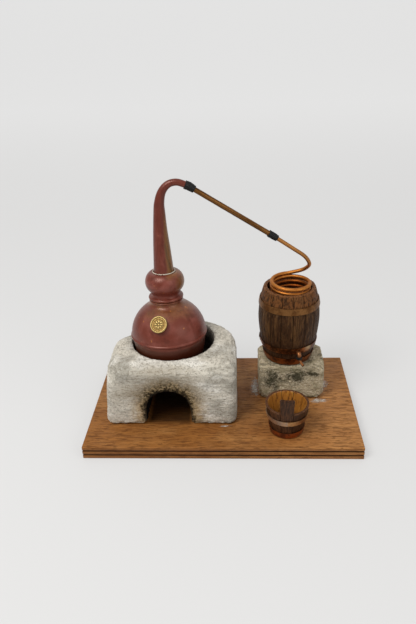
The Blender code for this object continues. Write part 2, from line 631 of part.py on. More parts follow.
def make_barrel(wood, copper, parent):
    outline = stave_outline()
    pitch = math.tau / STAVES
    seam = GAP / BARREL_RIM_RADIUS
    staves = []
    for index in range(STAVES):
        middle = OUTLET_ANGLE + pitch * index
        bm = sector_mesh(outline, middle - (pitch - seam) / 2, middle + (pitch - seam) / 2, 2)
        staves.append(from_bmesh(f"barrel_stave_{index + 1:02d}", bm, wood, parent))

    radius = barrel_radius(HEAD_BOARD_BASE) - STAVE_THICK + CROZE_DEPTH - GAP
    first_seam = OUTLET_ANGLE - pitch / 2
    disc = bottom_mesh(radius, HEAD_BOARD_BASE, HEAD_BOARD_THICK, 2 * STAVES, first_seam)
    from_bmesh("barrel_bottom", disc, wood, parent)

    hoops = {}
    for name, low, high in HOOPS:
        rows = [low + (high - low) * row / 2 for row in range(3)]
        inner = [(barrel_radius(h) + GAP, h) for h in rows]
        outer = [(radius + HOOP_THICK, h) for radius, h in inner[::-1]]
        bm = turned_mesh(inner + outer, True, 2 * STAVES)
        turn_by(bm, first_seam)
        hoops[name] = from_bmesh(name, bm, copper, parent)

    across = Vector((math.cos(OUTLET_ANGLE), math.sin(OUTLET_ANGLE), 0))
    level = Vector((0, 0, OUTLET_HEIGHT))
    bore = rod_mesh(OUTLET_RADIUS + GAP, across * 0.020 + level, across * 0.036 + level)
    cutter = from_bmesh("outlet_cutter", bore, wood, parent)
    cut(staves[0], cutter)
    cut(hoops["barrel_hoop_lower"], cutter)

    for name, hoop, index in RIVETS:
        low, high = next(span[1:] for span in HOOPS if span[0] == hoop)
        turn = OUTLET_ANGLE + pitch * index
        outward = Vector((math.cos(turn), math.sin(turn), 0))
        height = (low + high) / 2
        surface = (barrel_radius(height) + GAP + HOOP_THICK) * math.cos(pitch / 4)
        seat = empty(name + "_axis", outward * surface + Vector((0, 0, height)), parent)
        seat.rotation_euler = outward.to_track_quat("Z", "X").to_euler()
        hole = rod_mesh(RIVET_SHANK_RADIUS + GAP, (0, 0, -RIVET_DEPTH - GAP), (0, 0, RIVET_DEPTH), 10)
        cutter = from_bmesh(name + "_cutter", hole, copper, seat)
        cut(hoops[hoop], cutter)
        cut(staves[index], cutter)
        lift = 2 * GAP
        profile = [(0, lift + RIVET_HEAD), (0.0007, lift + RIVET_HEAD - 0.0002),
                   (RIVET_HEAD_RADIUS, lift + 0.0003), (RIVET_HEAD_RADIUS, lift),
                   (RIVET_SHANK_RADIUS, lift), (RIVET_SHANK_RADIUS, -RIVET_DEPTH), (0, -RIVET_DEPTH)]
        from_bmesh(name, turned_mesh(profile, False, 10), copper, seat)


def make_outlet(copper, tape):
    """Elbow from a cup under the worm's tail, out through the wall, then a band and a spout."""
    up = Vector((0, 0, 1))
    cup_rim = TAIL_END - CUP_DROP
    stations = [(*outlet_point(TAIL_REACH, cup_rim), CUP_RADIUS),
                (*outlet_point(TAIL_REACH, cup_rim - CUP_DEPTH), CUP_RADIUS),
                (*outlet_point(TAIL_REACH + 0.0002, OUTLET_HEIGHT + 0.0018), OUTLET_RADIUS + 0.0002),
                (*outlet_point(TAIL_REACH + 0.0014, OUTLET_HEIGHT + 0.0003), OUTLET_RADIUS),
                (*outlet_point(TAIL_REACH + 0.0040, OUTLET_HEIGHT), OUTLET_RADIUS),
                (*outlet_point(OUTLET_REACH - 0.0028, OUTLET_HEIGHT), OUTLET_RADIUS),
                (*outlet_point(OUTLET_REACH - 0.0008, OUTLET_HEIGHT - 0.0008), OUTLET_RADIUS),
                (*outlet_point(OUTLET_REACH, OUTLET_HEIGHT - 0.0024), OUTLET_RADIUS),
                (*outlet_point(OUTLET_REACH, OUTLET_HEIGHT - 0.0040), OUTLET_RADIUS)]
    pipe("outlet_elbow", smooth_path(stations, 2), copper, TUBE_WALL)

    outer = outlet_point(OUTLET_REACH, OUTLET_HEIGHT)
    drop = outer - up * (0.0040 + BUTT_GAP)
    tip = Vector(SPOUT_TIP)
    knee = drop - up * 0.0012
    middle = knee.lerp(tip, 0.5) - up * 0.0003
    spout = [(*point, SPOUT_RADIUS) for point in (drop, knee, middle, tip)]
    pipe("outlet_spout", smooth_path(spout, 2), copper, SPOUT_WALL)
    cover = WRAP_FIT + BAND_WALL
    band = [(*(outer - up * 0.0026), OUTLET_RADIUS + cover),
            (*(outer - up * 0.0042), OUTLET_RADIUS + cover),
            (*(drop - up * 0.0010), SPOUT_RADIUS + 0.0003 + cover)]
    pipe("outlet_band", band, tape, BAND_WALL, resolution=4)


# ---------------------------------------------------------------- bucket

def bucket_radius(height):
    share = height / BUCKET_HEIGHT
    return BUCKET_BASE_RADIUS + (BUCKET_RIM_RADIUS - BUCKET_BASE_RADIUS) * share


def make_bucket(wood, copper, parent):
    pitch = math.tau / BUCKET_STAVES
    seam = GAP / BUCKET_BASE_RADIUS
    groove = (BUCKET_BOTTOM - GAP, BUCKET_BOTTOM + BUCKET_BOTTOM_THICK + GAP)
    for index in range(BUCKET_STAVES):
        top = BUCKET_HANDLE_HEIGHT if index == 0 else BUCKET_HEIGHT
        outline = [(bucket_radius(h), h) for h in (0, BUCKET_HEIGHT / 2, top)]
        outline += [(bucket_radius(h) - BUCKET_STAVE_THICK, h) for h in (top, groove[1])]
        outline += [(bucket_radius(h) - BUCKET_STAVE_THICK + CROZE_DEPTH, h) for h in groove[::-1]]
        outline += [(bucket_radius(h) - BUCKET_STAVE_THICK, h) for h in (groove[0], 0)]
        middle = BUCKET_HANDLE_ANGLE + pitch * index
        bm = sector_mesh(outline, middle - (pitch - seam) / 2, middle + (pitch - seam) / 2, 3)
        if index == 0:
            corners = [edge for edge in bm.edges if handle_corner(edge, middle, pitch)]
            round_edges(bm, corners, 0.0022, 2)
        name = "bucket_handle_stave" if index == 0 else f"bucket_stave_{index:02d}"
        from_bmesh(name, bm, wood, parent)

    radius = bucket_radius(BUCKET_BOTTOM) - BUCKET_STAVE_THICK + CROZE_DEPTH - GAP
    first_seam = BUCKET_HANDLE_ANGLE - pitch / 2
    disc = bottom_mesh(radius, BUCKET_BOTTOM, BUCKET_BOTTOM_THICK, 3 * BUCKET_STAVES, first_seam)
    from_bmesh("bucket_bottom", disc, wood, parent)
    for name, low, high in BUCKET_HOOPS:
        inner = [(bucket_radius(h) + GAP, h) for h in (low, high)]
        outer = [(radius + HOOP_THICK, h) for radius, h in inner[::-1]]
        bm = turned_mesh(inner + outer, True, 3 * BUCKET_STAVES)
        turn_by(bm, first_seam)
        from_bmesh(name, bm, copper, parent)


def handle_corner(edge, middle, pitch):
    """Whether an edge runs through the stave's thickness at a top corner of the handle."""
    ends = [vert.co for vert in edge.verts]
    high = all(co.z > BUCKET_HANDLE_HEIGHT - 1e-4 for co in ends)
    sides = [abs(math.remainder(math.atan2(co.y, co.x) - middle, math.tau)) for co in ends]
    return high and all(side > pitch * 0.42 for side in sides)


def main():
    clear_scene()
    oak = material("oak board", (0.23, 0.11, 0.05), 0.5)
    stone = material("pale stone", (0.55, 0.52, 0.47), 0.95)
    mossy = material("grey stone", (0.38, 0.38, 0.33), 0.95)
    red_copper = material("red brown copper", (0.25, 0.06, 0.045), 0.4, 0.3)
    aged_copper = material("aged copper", (0.36, 0.19, 0.09), 0.4, 0.9)
    bright_copper = material("bright copper", (0.72, 0.33, 0.12), 0.25, 1.0)
    hoop_copper = material("hoop copper", (0.42, 0.18, 0.08), 0.35, 1.0)
    brass = material("brass", (0.70, 0.55, 0.25), 0.3, 1.0)
    tape = material("black tape", (0.03, 0.03, 0.03), 0.8)
    solder = material("pale solder", (0.70, 0.66, 0.58), 0.6)
    stave_wood = material("dark stave oak", (0.16, 0.09, 0.05), 0.7)
    bucket_wood = material("bucket wood", (0.20, 0.10, 0.06), 0.6)

    make_board(oak)
    make_furnace(stone)
    make_block(mossy)

    still_lift = empty("pot_lift", (STILL_X, STILL_Y, BOARD_TOP + POT_BASE))
    still_lift.rotation_euler = (-LEAN_BACK, -LEAN_LEFT, 0)
    make_pot(red_copper, still_lift)
    make_disc(brass, still_lift)
    head_lift = empty("head_lift", (0, 0, LIP_HEIGHT + GAP - POT_BASE), still_lift)
    make_head(red_copper, solder, head_lift)
    arm_lift = empty("arm_lift", still_point(HEAD_TOP))
    bpy.context.view_layer.update()
    make_neck_and_worm((red_copper, tape, aged_copper, bright_copper), arm_lift)

    barrel_axis = empty("barrel_axis", (BARREL_X, BARREL_Y, BOARD_TOP))
    make_barrel(stave_wood, hoop_copper, barrel_axis)
    make_outlet(hoop_copper, tape)
    bucket_lift = empty("bucket_lift", (BUCKET_X, BUCKET_Y, BOARD_TOP + GAP))
    make_bucket(bucket_wood, hoop_copper, bucket_lift)


main()
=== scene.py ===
"""Miniature alembic still: its visible surfaces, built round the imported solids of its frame.

A red-brown copper pot stands in a stone furnace. Its swan neck and lyne arm feed a copper worm in
an open barrel on a stone, and a wooden bucket waits under the barrel's spout. Lengths are metres.
"""
import math

import bmesh
import bpy
from bpy.props import FloatProperty, FloatVectorProperty, IntProperty, PointerProperty
from mathutils import Euler, Matrix, Vector, noise


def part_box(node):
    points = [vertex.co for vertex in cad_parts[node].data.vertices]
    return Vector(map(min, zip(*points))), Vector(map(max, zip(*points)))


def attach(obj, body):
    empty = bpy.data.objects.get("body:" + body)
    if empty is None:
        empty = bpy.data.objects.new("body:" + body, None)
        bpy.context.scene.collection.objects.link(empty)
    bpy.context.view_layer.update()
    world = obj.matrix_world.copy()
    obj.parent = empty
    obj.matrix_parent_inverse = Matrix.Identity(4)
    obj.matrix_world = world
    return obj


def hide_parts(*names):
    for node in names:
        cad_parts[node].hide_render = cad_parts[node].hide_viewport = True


bl_info = {
    "name": "Miniature Alembic Still",
    "version": (1, 0, 0),
    "blender": (4, 5, 0),
    "location": "3D View > Sidebar > Still",
    "description": "Builds a copper pot still with its furnace, barrel, worm and bucket",
    "category": "Object",
}

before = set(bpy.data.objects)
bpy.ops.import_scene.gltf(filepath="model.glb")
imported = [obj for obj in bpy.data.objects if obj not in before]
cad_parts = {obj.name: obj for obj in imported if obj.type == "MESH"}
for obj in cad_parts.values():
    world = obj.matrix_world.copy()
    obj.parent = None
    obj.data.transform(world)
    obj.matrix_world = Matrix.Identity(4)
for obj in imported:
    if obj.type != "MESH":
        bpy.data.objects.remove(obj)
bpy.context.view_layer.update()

BOARD_LOW, BOARD_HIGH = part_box("base_board")
FURNACE_LOW, FURNACE_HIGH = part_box("furnace_block")
STONE_LOW, STONE_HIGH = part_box("barrel_stone")
TOP = BOARD_HIGH.z                           # top of the board
FIT = 0.0003                                 # clearance between pieces that touch

# Furnace
ARCH_X = -0.0492
ARCH_RADIUS = 0.0199
ARCH_SPRING = TOP + 0.0166
RECESS = Vector((-0.0468, 0.0105, 0.0))

# Still: heights are above the board, along its leaning axis
POT_BASE = 0.04155
STILL_FOOT = Vector((-0.0493, 0.0063, TOP + POT_BASE))
LEAN = (-math.radians(3.0), -math.radians(1.2), 0.0)
RIB = 0.0725
DOME_RADIUS = 0.0350
DOME_RISE = 0.0330
THROAT = math.asin(0.0192 / DOME_RADIUS)     # angle from the crown where the shoulder starts
NECK_RADIUS = 0.0149
LIP = 0.1070
COLLAR = 0.1089
WAIST = 0.1135
BULB = 0.1236
HEAD_TOP = 0.1326
NECK_BASE = HEAD_TOP + FIT

# Arm and worm
ARM_RADIUS = 0.0023
WORM_RADIUS = 0.0018
TUBE_WALL = 0.0005
ARM_END = Vector((0.0475, 0.0215, 0.1735))
COIL = Vector((0.0644, 0.0225, TOP + 0.1163))
COIL_RADIUS = 0.0175
COIL_PITCH = 0.0048
COIL_TURNS = 8
TAIL_REACH = 0.0168
TAIL_END = 0.0612

# Barrel and outlet
BARREL = Vector((0.0636, 0.0225, TOP))
BARREL_BASE = 0.0383
BARREL_BELLY = 0.0815
BARREL_RIM = 0.1117
BASE_RADIUS = 0.0219
BELLY_RADIUS = 0.0289
RIM_RADIUS = 0.0241
STAVES = 16
STAVE_THICK = 0.0032
HOOP_THICK = 0.0006
CROZE = (0.0412, 0.0448, 0.0008)             # low edge, high edge and depth of the groove
OUTLET_ANGLE = math.radians(-75.0)
OUTLET_HEIGHT = 0.0555
OUTLET_REACH = 0.0318
SPOUT_TIP = Vector((0.0752, -0.0140, 0.0588))

# Bucket
BUCKET = Vector((0.0586, -0.0475, TOP + FIT))
BUCKET_BASE_RADIUS = 0.0142
BUCKET_RIM_RADIUS = 0.0196
BUCKET_HEIGHT = 0.0300
BUCKET_STAVES = 10
BUCKET_THICK = 0.0022
HANDLE_ANGLE = math.radians(-95.0)
HANDLE_HEIGHT = 0.0465

# Camera: pitch down, yaw and roll in degrees
CAMERA_TURNS = (27.84383675, 3.56072573, -2.21229682)
CAMERA_PLACE = (0.018536, -0.489679, 0.367969)


# ---------------------------------------------------------------- settings

def colour(label, words, value):
    return FloatVectorProperty(name=label, description=words, subtype="COLOR", size=3, min=0.0,
                               max=1.0, default=value)


def length(label, words, value):
    return FloatProperty(name=label, description=words, subtype="DISTANCE", unit="LENGTH",
                         precision=5, default=value)


def count(label, words, value):
    return IntProperty(name=label, description=words, min=3, default=value)


class StillBoardSettings(bpy.types.PropertyGroup):
    oak: colour("Oak", "Colour of the board between its pores", (0.262, 0.104, 0.025))
    dark_oak: colour("Dark grain", "Colour of the board's grain lines", (0.062, 0.019, 0.005))
    groove: length("Groove", "Depth of the grooves in the board's edge", 0.0008)
    edge: length("Edge", "Width of the board's worn edges", 0.0006)


class StillStoneSettings(bpy.types.PropertyGroup):
    pale: colour("Pale stone", "Colour of the furnace's clean stone", (0.630, 0.590, 0.510))
    grey: colour("Grey stone", "Colour of the furnace's weathered stone", (0.330, 0.308, 0.260))
    mossy: colour("Mossy stone", "Colour of the stone under the barrel", (0.400, 0.335, 0.225))
    moss: colour("Moss", "Colour of the dark growth", (0.032, 0.030, 0.016))
    cell: length("Cell", "Size of the stones' surface cells", 0.00105)
    rough: length("Roughness depth", "How deep the stones' surface is pitted", 0.00055)


class StillCopperSettings(bpy.types.PropertyGroup):
    oxide: colour("Oxide", "Colour of the pot's red-brown skin", (0.116, 0.021, 0.011))
    worn: colour("Worn copper", "Colour where the skin has worn golden", (0.165, 0.072, 0.018))
    worm: colour("Worm", "Colour of the bright copper tube", (0.520, 0.205, 0.044))
    brass: colour("Brass", "Colour of the disc", (0.380, 0.272, 0.104))
    sheet: length("Sheet", "Thickness of the copper sheet", 0.0012)
    sides: count("Sides", "Segments round the pot and its head", 112)


class StillWoodSettings(bpy.types.PropertyGroup):
    stave: colour("Stave oak", "Colour of the barrel's staves", (0.032, 0.0122, 0.0046))
    rim: colour("Rim", "Colour of the staves' worn ends", (0.190, 0.078, 0.028))
    bucket: colour("Bucket", "Colour of the bucket outside", (0.029, 0.0105, 0.0045))
    varnish: colour("Varnish", "Colour of the bucket's varnished inside", (0.330, 0.130, 0.020))


class StillStageSettings(bpy.types.PropertyGroup):
    floor: colour("Floor", "Colour of the floor and backdrop", (0.29, 0.29, 0.29))
    sky: FloatProperty(name="Sky", description="Strength of the even light", default=0.62, min=0.0)
    key: FloatProperty(name="Key", description="Power of the large soft lamp", default=10.0,
                       min=0.0, subtype="POWER", unit="POWER")
    lens: FloatProperty(name="Lens", description="Focal length", default=35.0, min=1.0,
                        subtype="DISTANCE_CAMERA")


# ---------------------------------------------------------------- shader kit

class Value:
    """One output in a material. Arithmetic on it adds Math nodes."""

    def __init__(self, shader, socket):
        self.shader = shader
        self.socket = socket

    def math(self, operation, *values):
        return self.shader.node("ShaderNodeMath", {"operation": operation}, dict(enumerate(values)))

    def __add__(self, other):
        return self.math("ADD", self, other)

    def __radd__(self, other):
        return self.math("ADD", other, self)

    def __sub__(self, other):
        return self.math("SUBTRACT", self, other)

    def __rsub__(self, other):
        return self.math("SUBTRACT", other, self)

    def __mul__(self, other):
        return self.math("MULTIPLY", self, other)

    def __rmul__(self, other):
        return self.math("MULTIPLY", other, self)

    def __truediv__(self, other):
        return self.math("DIVIDE", self, other)

    def __pow__(self, other):
        return self.math("POWER", self, other)

    def __abs__(self):
        return self.math("ABSOLUTE", self)

    def most(self, other):
        return self.math("MAXIMUM", self, other)


class Shader:
    """A material in the making, with the few patterns that its finishes are mixed from."""

    def __init__(self, name):
        self.material = bpy.data.materials.new(name)
        self.material.use_nodes = True
        self.tree = self.material.node_tree
        self.surface = self.tree.nodes["Principled BSDF"]
        self.place = self.node("ShaderNodeTexCoord", output="Object")

    def node(self, kind, settings=None, values=None, output=0):
        """Add a node: its settings first, then its sockets' values or links."""
        made = self.tree.nodes.new(kind)
        for name, value in (settings or {}).items():
            setattr(made, name, value)
        for key, value in (values or {}).items():
            self.feed(made.inputs[key], value)
        return Value(self, made.outputs[output])

    def feed(self, socket, value):
        if isinstance(value, Value):
            self.tree.links.new(value.socket, socket)
        elif socket.type == "RGBA" and len(value) == 3:
            socket.default_value = (*value, 1.0)
        else:
            socket.default_value = value

    def stretched(self, scale, centre=(0, 0, 0), source=None):
        """Coordinates about a centre, scaled on each axis."""
        moved = self.node("ShaderNodeVectorMath", {"operation": "SUBTRACT"},
                          {0: source or self.place, 1: centre})
        return self.node("ShaderNodeVectorMath", {"operation": "MULTIPLY"}, {0: moved, 1: scale})

    def axes(self, vector=None):
        split = self.node("ShaderNodeSeparateXYZ", {}, {0: vector or self.place})
        outputs = split.socket.node.outputs
        return Value(self, outputs[0]), Value(self, outputs[1]), Value(self, outputs[2])

    def clouds(self, scale, detail=4.0, roughness=0.55, distortion=0.0, centre=(0, 0, 0), source=None):
        """Noise from 0 to 1; scale is one number or one for each axis, in features per metre."""
        size = scale if isinstance(scale, tuple) else (scale, scale, scale)
        return self.node("ShaderNodeTexNoise", {}, {
            "Vector": self.stretched(size, centre, source), "Scale": 1.0, "Detail": detail,
            "Roughness": roughness, "Distortion": distortion})

    def step(self, value, start, end):
        """0 at start, 1 at end, smooth between them, whichever is larger."""
        return self.node("ShaderNodeMapRange", {"interpolation_type": "SMOOTHSTEP"},
                         {0: value, 1: start, 2: end})

    def mix(self, first, second, share):
        """A colour from first, at a share of 0, to second, at 1."""
        return self.node("ShaderNodeMix", {"data_type": "RGBA"}, {0: share, 6: first, 7: second},
                         output=2)

    def coat(self, base, colour, value, start, end, strength):
        """The base, under a colour that grows from 0 to a strength as value goes from start to end."""
        return self.mix(base, colour, self.step(value, start, end) * strength)

    def point(self, *values):
        """A vector from up to three numbers."""
        return self.node("ShaderNodeCombineXYZ", {}, dict(enumerate(values)))

    def mark(self, name):
        """A number stored on the piece's mesh."""
        return self.node("ShaderNodeAttribute", {"attribute_name": name}, output="Fac")

    def along(self):
        """Turn round a tube and distance along it, from its own map."""
        return self.node("ShaderNodeUVMap", {"uv_map": "Along"})

    def upright(self, centre):
        """A vessel's own axes, a stave's own shade, and coordinates that differ from stave to stave."""
        x, y, z = self.axes(self.stretched((1, 1, 1), centre))
        own = self.mark("shade")
        return x, y, z, own, self.point(x, y, z + own * 3.0)

    def bump(self, height, distance):
        return self.node("ShaderNodeBump", {},
                         {"Strength": 1.0, "Distance": distance, "Height": height})

    def done(self, base, roughness, normal=None, **constants):
        """Join the finish to the surface; constants are set on its own sockets."""
        self.feed(self.surface.inputs["Base Color"], base)
        self.feed(self.surface.inputs["Roughness"], roughness)
        if normal:
            self.feed(self.surface.inputs["Normal"], normal)
        for name, value in constants.items():
            self.feed(self.surface.inputs[name.replace("_", " ").title().replace("Ior", "IOR")], value)
        return self.material


# ---------------------------------------------------------------- modelling kit

def in_scene(name, bm):
    """An object in the scene with the bmesh's mesh."""
    mesh = bpy.data.meshes.new(name)
    bm.to_mesh(mesh)
    bm.free()
    made = bpy.data.objects.new(name, mesh)
    bpy.context.scene.collection.objects.link(made)
    return made


def gone(made):
    """Remove an object and its mesh."""
    mesh = made.data
    bpy.data.objects.remove(made)
    bpy.data.meshes.remove(mesh)


def part(name, bm, finishes, body, nodes, sharp=38):
    """Make a finished piece from a bmesh: it rides on a body and stands for CAD nodes."""
    bmesh.ops.remove_doubles(bm, verts=bm.verts, dist=1e-7)
    bmesh.ops.recalc_face_normals(bm, faces=bm.faces)
    made = in_scene(name, bm)
    made.data.shade_smooth()
    made.data.set_sharp_from_angle(angle=math.radians(sharp))
    for finish in finishes:
        made.data.materials.append(finish)
    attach(made, body)
    if nodes:
        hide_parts(*nodes)
    return made


def arc(centre, radius, start, end, steps):
    """Points of an arc, with the angles in degrees."""
    angles = [math.radians(start + (end - start) * step / steps) for step in range(steps + 1)]
    return [(centre[0] + radius * math.cos(a), centre[1] + radius * math.sin(a)) for a in angles]


def smooth_path(points, pieces):
    """Catmull-Rom curve through points, each a tuple of equal length."""
    first = [2 * a - b for a, b in zip(points[0], points[1])]
    last = [2 * a - b for a, b in zip(points[-1], points[-2])]
    knots = [first] + [list(point) for point in points] + [last]
    path = []
    for index in range(1, len(knots) - 2):
        p0, p1, p2, p3 = knots[index - 1:index + 3]
        for step in range(pieces):
            t = step / pieces
            path.append(tuple(
                0.5 * (2 * b + (c - a) * t + (2 * a - 5 * b + 4 * c - d) * t ** 2
                       + (3 * b - a - 3 * c + d) * t ** 3)
                for a, b, c, d in zip(p0, p1, p2, p3)))
    path.append(tuple(points[-1]))
    return path


def turned(profile, sides, ring=False):
    """Spin (radius, height) points once round Z: an open profile from pole to pole, or a ring."""
    bm = bmesh.new()
    verts = [bm.verts.new((radius, 0, height)) for radius, height in profile]
    for first, second in zip(verts, verts[1:]):
        bm.edges.new((first, second))
    if ring:
        bm.edges.new((verts[-1], verts[0]))
    bmesh.ops.spin(bm, geom=bm.verts[:] + bm.edges[:], cent=(0, 0, 0), axis=(0, 0, 1),
                   angle=math.tau, steps=sides, use_merge=True)
    bmesh.ops.remove_doubles(bm, verts=bm.verts, dist=1e-6)
    bmesh.ops.delete(bm, geom=[edge for edge in bm.edges if edge.is_wire], context="EDGES")
    return bm


def sector(outline, start, end, steps):
    """Sweep a closed (radius, height) outline round Z from one angle to another."""
    bm = bmesh.new()
    face = bm.faces.new([bm.verts.new((radius, 0, height)) for radius, height in outline])
    bmesh.ops.rotate(bm, verts=bm.verts, cent=(0, 0, 0), matrix=Matrix.Rotation(start, 3, "Z"))
    bmesh.ops.spin(bm, geom=[face] + face.edges[:] + face.verts[:], cent=(0, 0, 0),
                   axis=(0, 0, 1), angle=end - start, steps=steps)
    bmesh.ops.recalc_face_normals(bm, faces=bm.faces)
    return bm


def bevelled(bm, edges, width, segments):
    bmesh.ops.bevel(bm, geom=edges, offset=width, segments=segments, affect="EDGES", profile=0.5,
                    material=-1, clamp_overlap=True)


def sharp_edges(bm, least=0.9):
    return [edge for edge in bm.edges if edge.calc_face_angle(0) > least]


def moved(bm, matrix):
    bmesh.ops.transform(bm, matrix=matrix, verts=bm.verts)
    return bm


def frames_along(points):
    """A matrix square to the path at each of its points, without twist from one to the next."""
    tangents = [(b - a).normalized() for a, b in zip(points, points[1:])]
    between = [(a + b).normalized() for a, b in zip(tangents, tangents[1:])]
    tangents = tangents[:1] + between + tangents[-1:]
    turn = tangents[0].to_track_quat("Z", "Y")
    frames = []
    for point, before, tangent in zip(points, tangents[:1] + tangents, tangents):
        turn = before.rotation_difference(tangent) @ turn
        frames.append(Matrix.Translation(point) @ turn.to_matrix().to_4x4())
    return frames


def tube(stations, wall, sides, swell=None):
    """Pipe along (x, y, z, radius) stations: out along its outside and back along its inside.

    swell(distance, turn) is how far a point of the outside stands proud. The map Along holds each
    point's turn round the tube and its distance along it.
    """
    points = [Vector(station[:3]) for station in stations]
    frames = frames_along(points)
    travelled = [0.0]
    for a, b in zip(points, points[1:]):
        travelled.append(travelled[-1] + (b - a).length)
    stops = [(index, stations[index][3], True) for index in range(len(stations))]
    stops += [(index, stations[index][3] - wall, False) for index in reversed(range(len(stations)))]

    bm = bmesh.new()
    rings = [bmesh.ops.create_circle(bm, segments=sides, radius=1.0)["verts"]]
    first_edges = edges = bm.edges[:]
    for _ in stops[1:]:
        grown = bmesh.ops.extrude_edge_only(bm, edges=edges)["geom"]
        ring = {item for item in grown if isinstance(item, bmesh.types.BMVert)}
        edges = [item for item in grown
                 if isinstance(item, bmesh.types.BMEdge) and set(item.verts) <= ring]
        rings.append(list(ring))
    bmesh.ops.bridge_loops(bm, edges=first_edges + edges)

    where = {}
    for ring, (index, radius, outside) in zip(rings, stops):
        for vert in ring:
            turn = (math.atan2(vert.co.y, vert.co.x) / math.tau) % 1.0
            proud = swell(travelled[index], turn) if swell and outside else 0.0
            vert.co = frames[index] @ (vert.co * (radius + proud))
            where[vert] = (turn, travelled[index])
    layer = bm.loops.layers.uv.new("Along")
    for face in bm.faces:
        crossing = max(where[vert][0] for vert in face.verts) > 0.75
        for loop in face.loops:
            turn, distance = where[loop.vert]
            loop[layer].uv = (turn + 1.0 if crossing and turn < 0.25 else turn, distance)
    return bm


def modified(bm, kind, **settings):
    """The bmesh after one modifier."""
    work = in_scene("work", bm)
    modifier = work.modifiers.new("work", kind)
    for name, value in settings.items():
        setattr(modifier, name, value)
    shaped = work.evaluated_get(bpy.context.evaluated_depsgraph_get())
    bm = bmesh.new()
    bm.from_mesh(shaped.to_mesh())
    shaped.to_mesh_clear()
    gone(work)
    return bm


def stored(bm, name, measure):
    """Store measure(vertex) on each vertex under a name."""
    layer = bm.verts.layers.float.new(name)
    for vert in bm.verts:
        vert[layer] = measure(vert)
    return bm


def wobble(point, size, seed=0.0):
    """Smooth noise from -1 to 1 whose waves are about size long."""
    return noise.noise(point / size + Vector((seed, 1.7 * seed, 0.3 * seed)))


def polar(angle, radius=1.0):
    return Vector((radius * math.cos(angle), radius * math.sin(angle), 0))


def outward(point):
    """Direction away from the Z axis at a point."""
    return Vector((point.x, point.y, 0)).normalized()


def facing(place, axis, up="Y"):
    """Matrix at a place whose Z points along an axis."""
    return Matrix.Translation(place) @ axis.to_track_quat("Z", up).to_matrix().to_4x4()


def dented(bm, depth, size, seed, centre):
    """Push a hoop out unevenly, then take it to its vessel."""
    for vert in bm.verts:
        vert.co += outward(vert.co) * depth * (1 + wobble(vert.co, size, seed))
    bmesh.ops.translate(bm, vec=centre, verts=bm.verts)


# ---------------------------------------------------------------- finishes

def oak_board_finish(wood):
    """Oiled oak, with the hearth under the arch darkened: sooty black and painted shade."""
    s = Shader("oiled oak")
    x, y, z = s.axes()
    drift = s.clouds((12, 70, 60), 3)
    pores = s.clouds((70, 1300, 900), 3, 0.6, 0.5)
    grain = s.clouds((105, 640, 420), 4, 0.62, 0.6)
    rays = s.clouds((48, 420, 400), 4, 0.6, 0.8)
    lines = s.step(grain, 0.50, 0.60)
    patches = s.clouds((22, 30, 30), 3, 0.6)
    base = s.mix(wood.oak, (0.335, 0.152, 0.046), s.step(patches, 0.42, 0.66))
    base = s.coat(base, (0.165, 0.056, 0.013), drift, 0.46, 0.64, 0.36)
    base = s.coat(base, (0.560, 0.260, 0.085), x, 0.0, 0.110, 0.33)
    base = s.mix(base, wood.dark_oak, lines * 0.52)
    base = s.coat(base, (0.090, 0.028, 0.007), rays, 0.50, 0.62, 0.30)
    base = s.coat(base, wood.dark_oak, pores, 0.54, 0.64, 0.60)
    side = s.step(z, TOP - 0.0003, TOP - 0.0010)
    base = s.mix(base, (0.170, 0.062, 0.018), side * 0.45)
    # Hearth under the arch: sooty black and painted shade where the arch shades the board.
    across = s.step(abs(x - ARCH_X), ARCH_RADIUS + 0.002, ARCH_RADIUS - 0.003)
    hearth = across * s.step(y, FURNACE_LOW.y - 0.002, FURNACE_LOW.y + 0.010)
    hearth = hearth * s.step(y, FURNACE_HIGH.y - 0.001, FURNACE_HIGH.y - 0.006)
    base = s.mix(base, (0.016, 0.006, 0.002), hearth * 0.88)
    height = grain * 0.5 + pores * -0.7
    return s.done(base, 0.48 + lines * 0.16, s.bump(height, 0.00045), specular_ior_level=0.20,
                  specular_tint=(1.0, 0.80, 0.60, 1.0))


def groove_finish(wood):
    # The grooves' near-black colour is painted shade in the creases, mottled by noise.
    s = Shader("groove painted shade")
    groove_shade_mottle = s.clouds((60, 300, 300), 3)
    return s.done(s.mix((0.030, 0.012, 0.005), wood.dark_oak, s.step(groove_shade_mottle, 0.45, 0.75)), 0.75,
                  specular_ior_level=0.1)


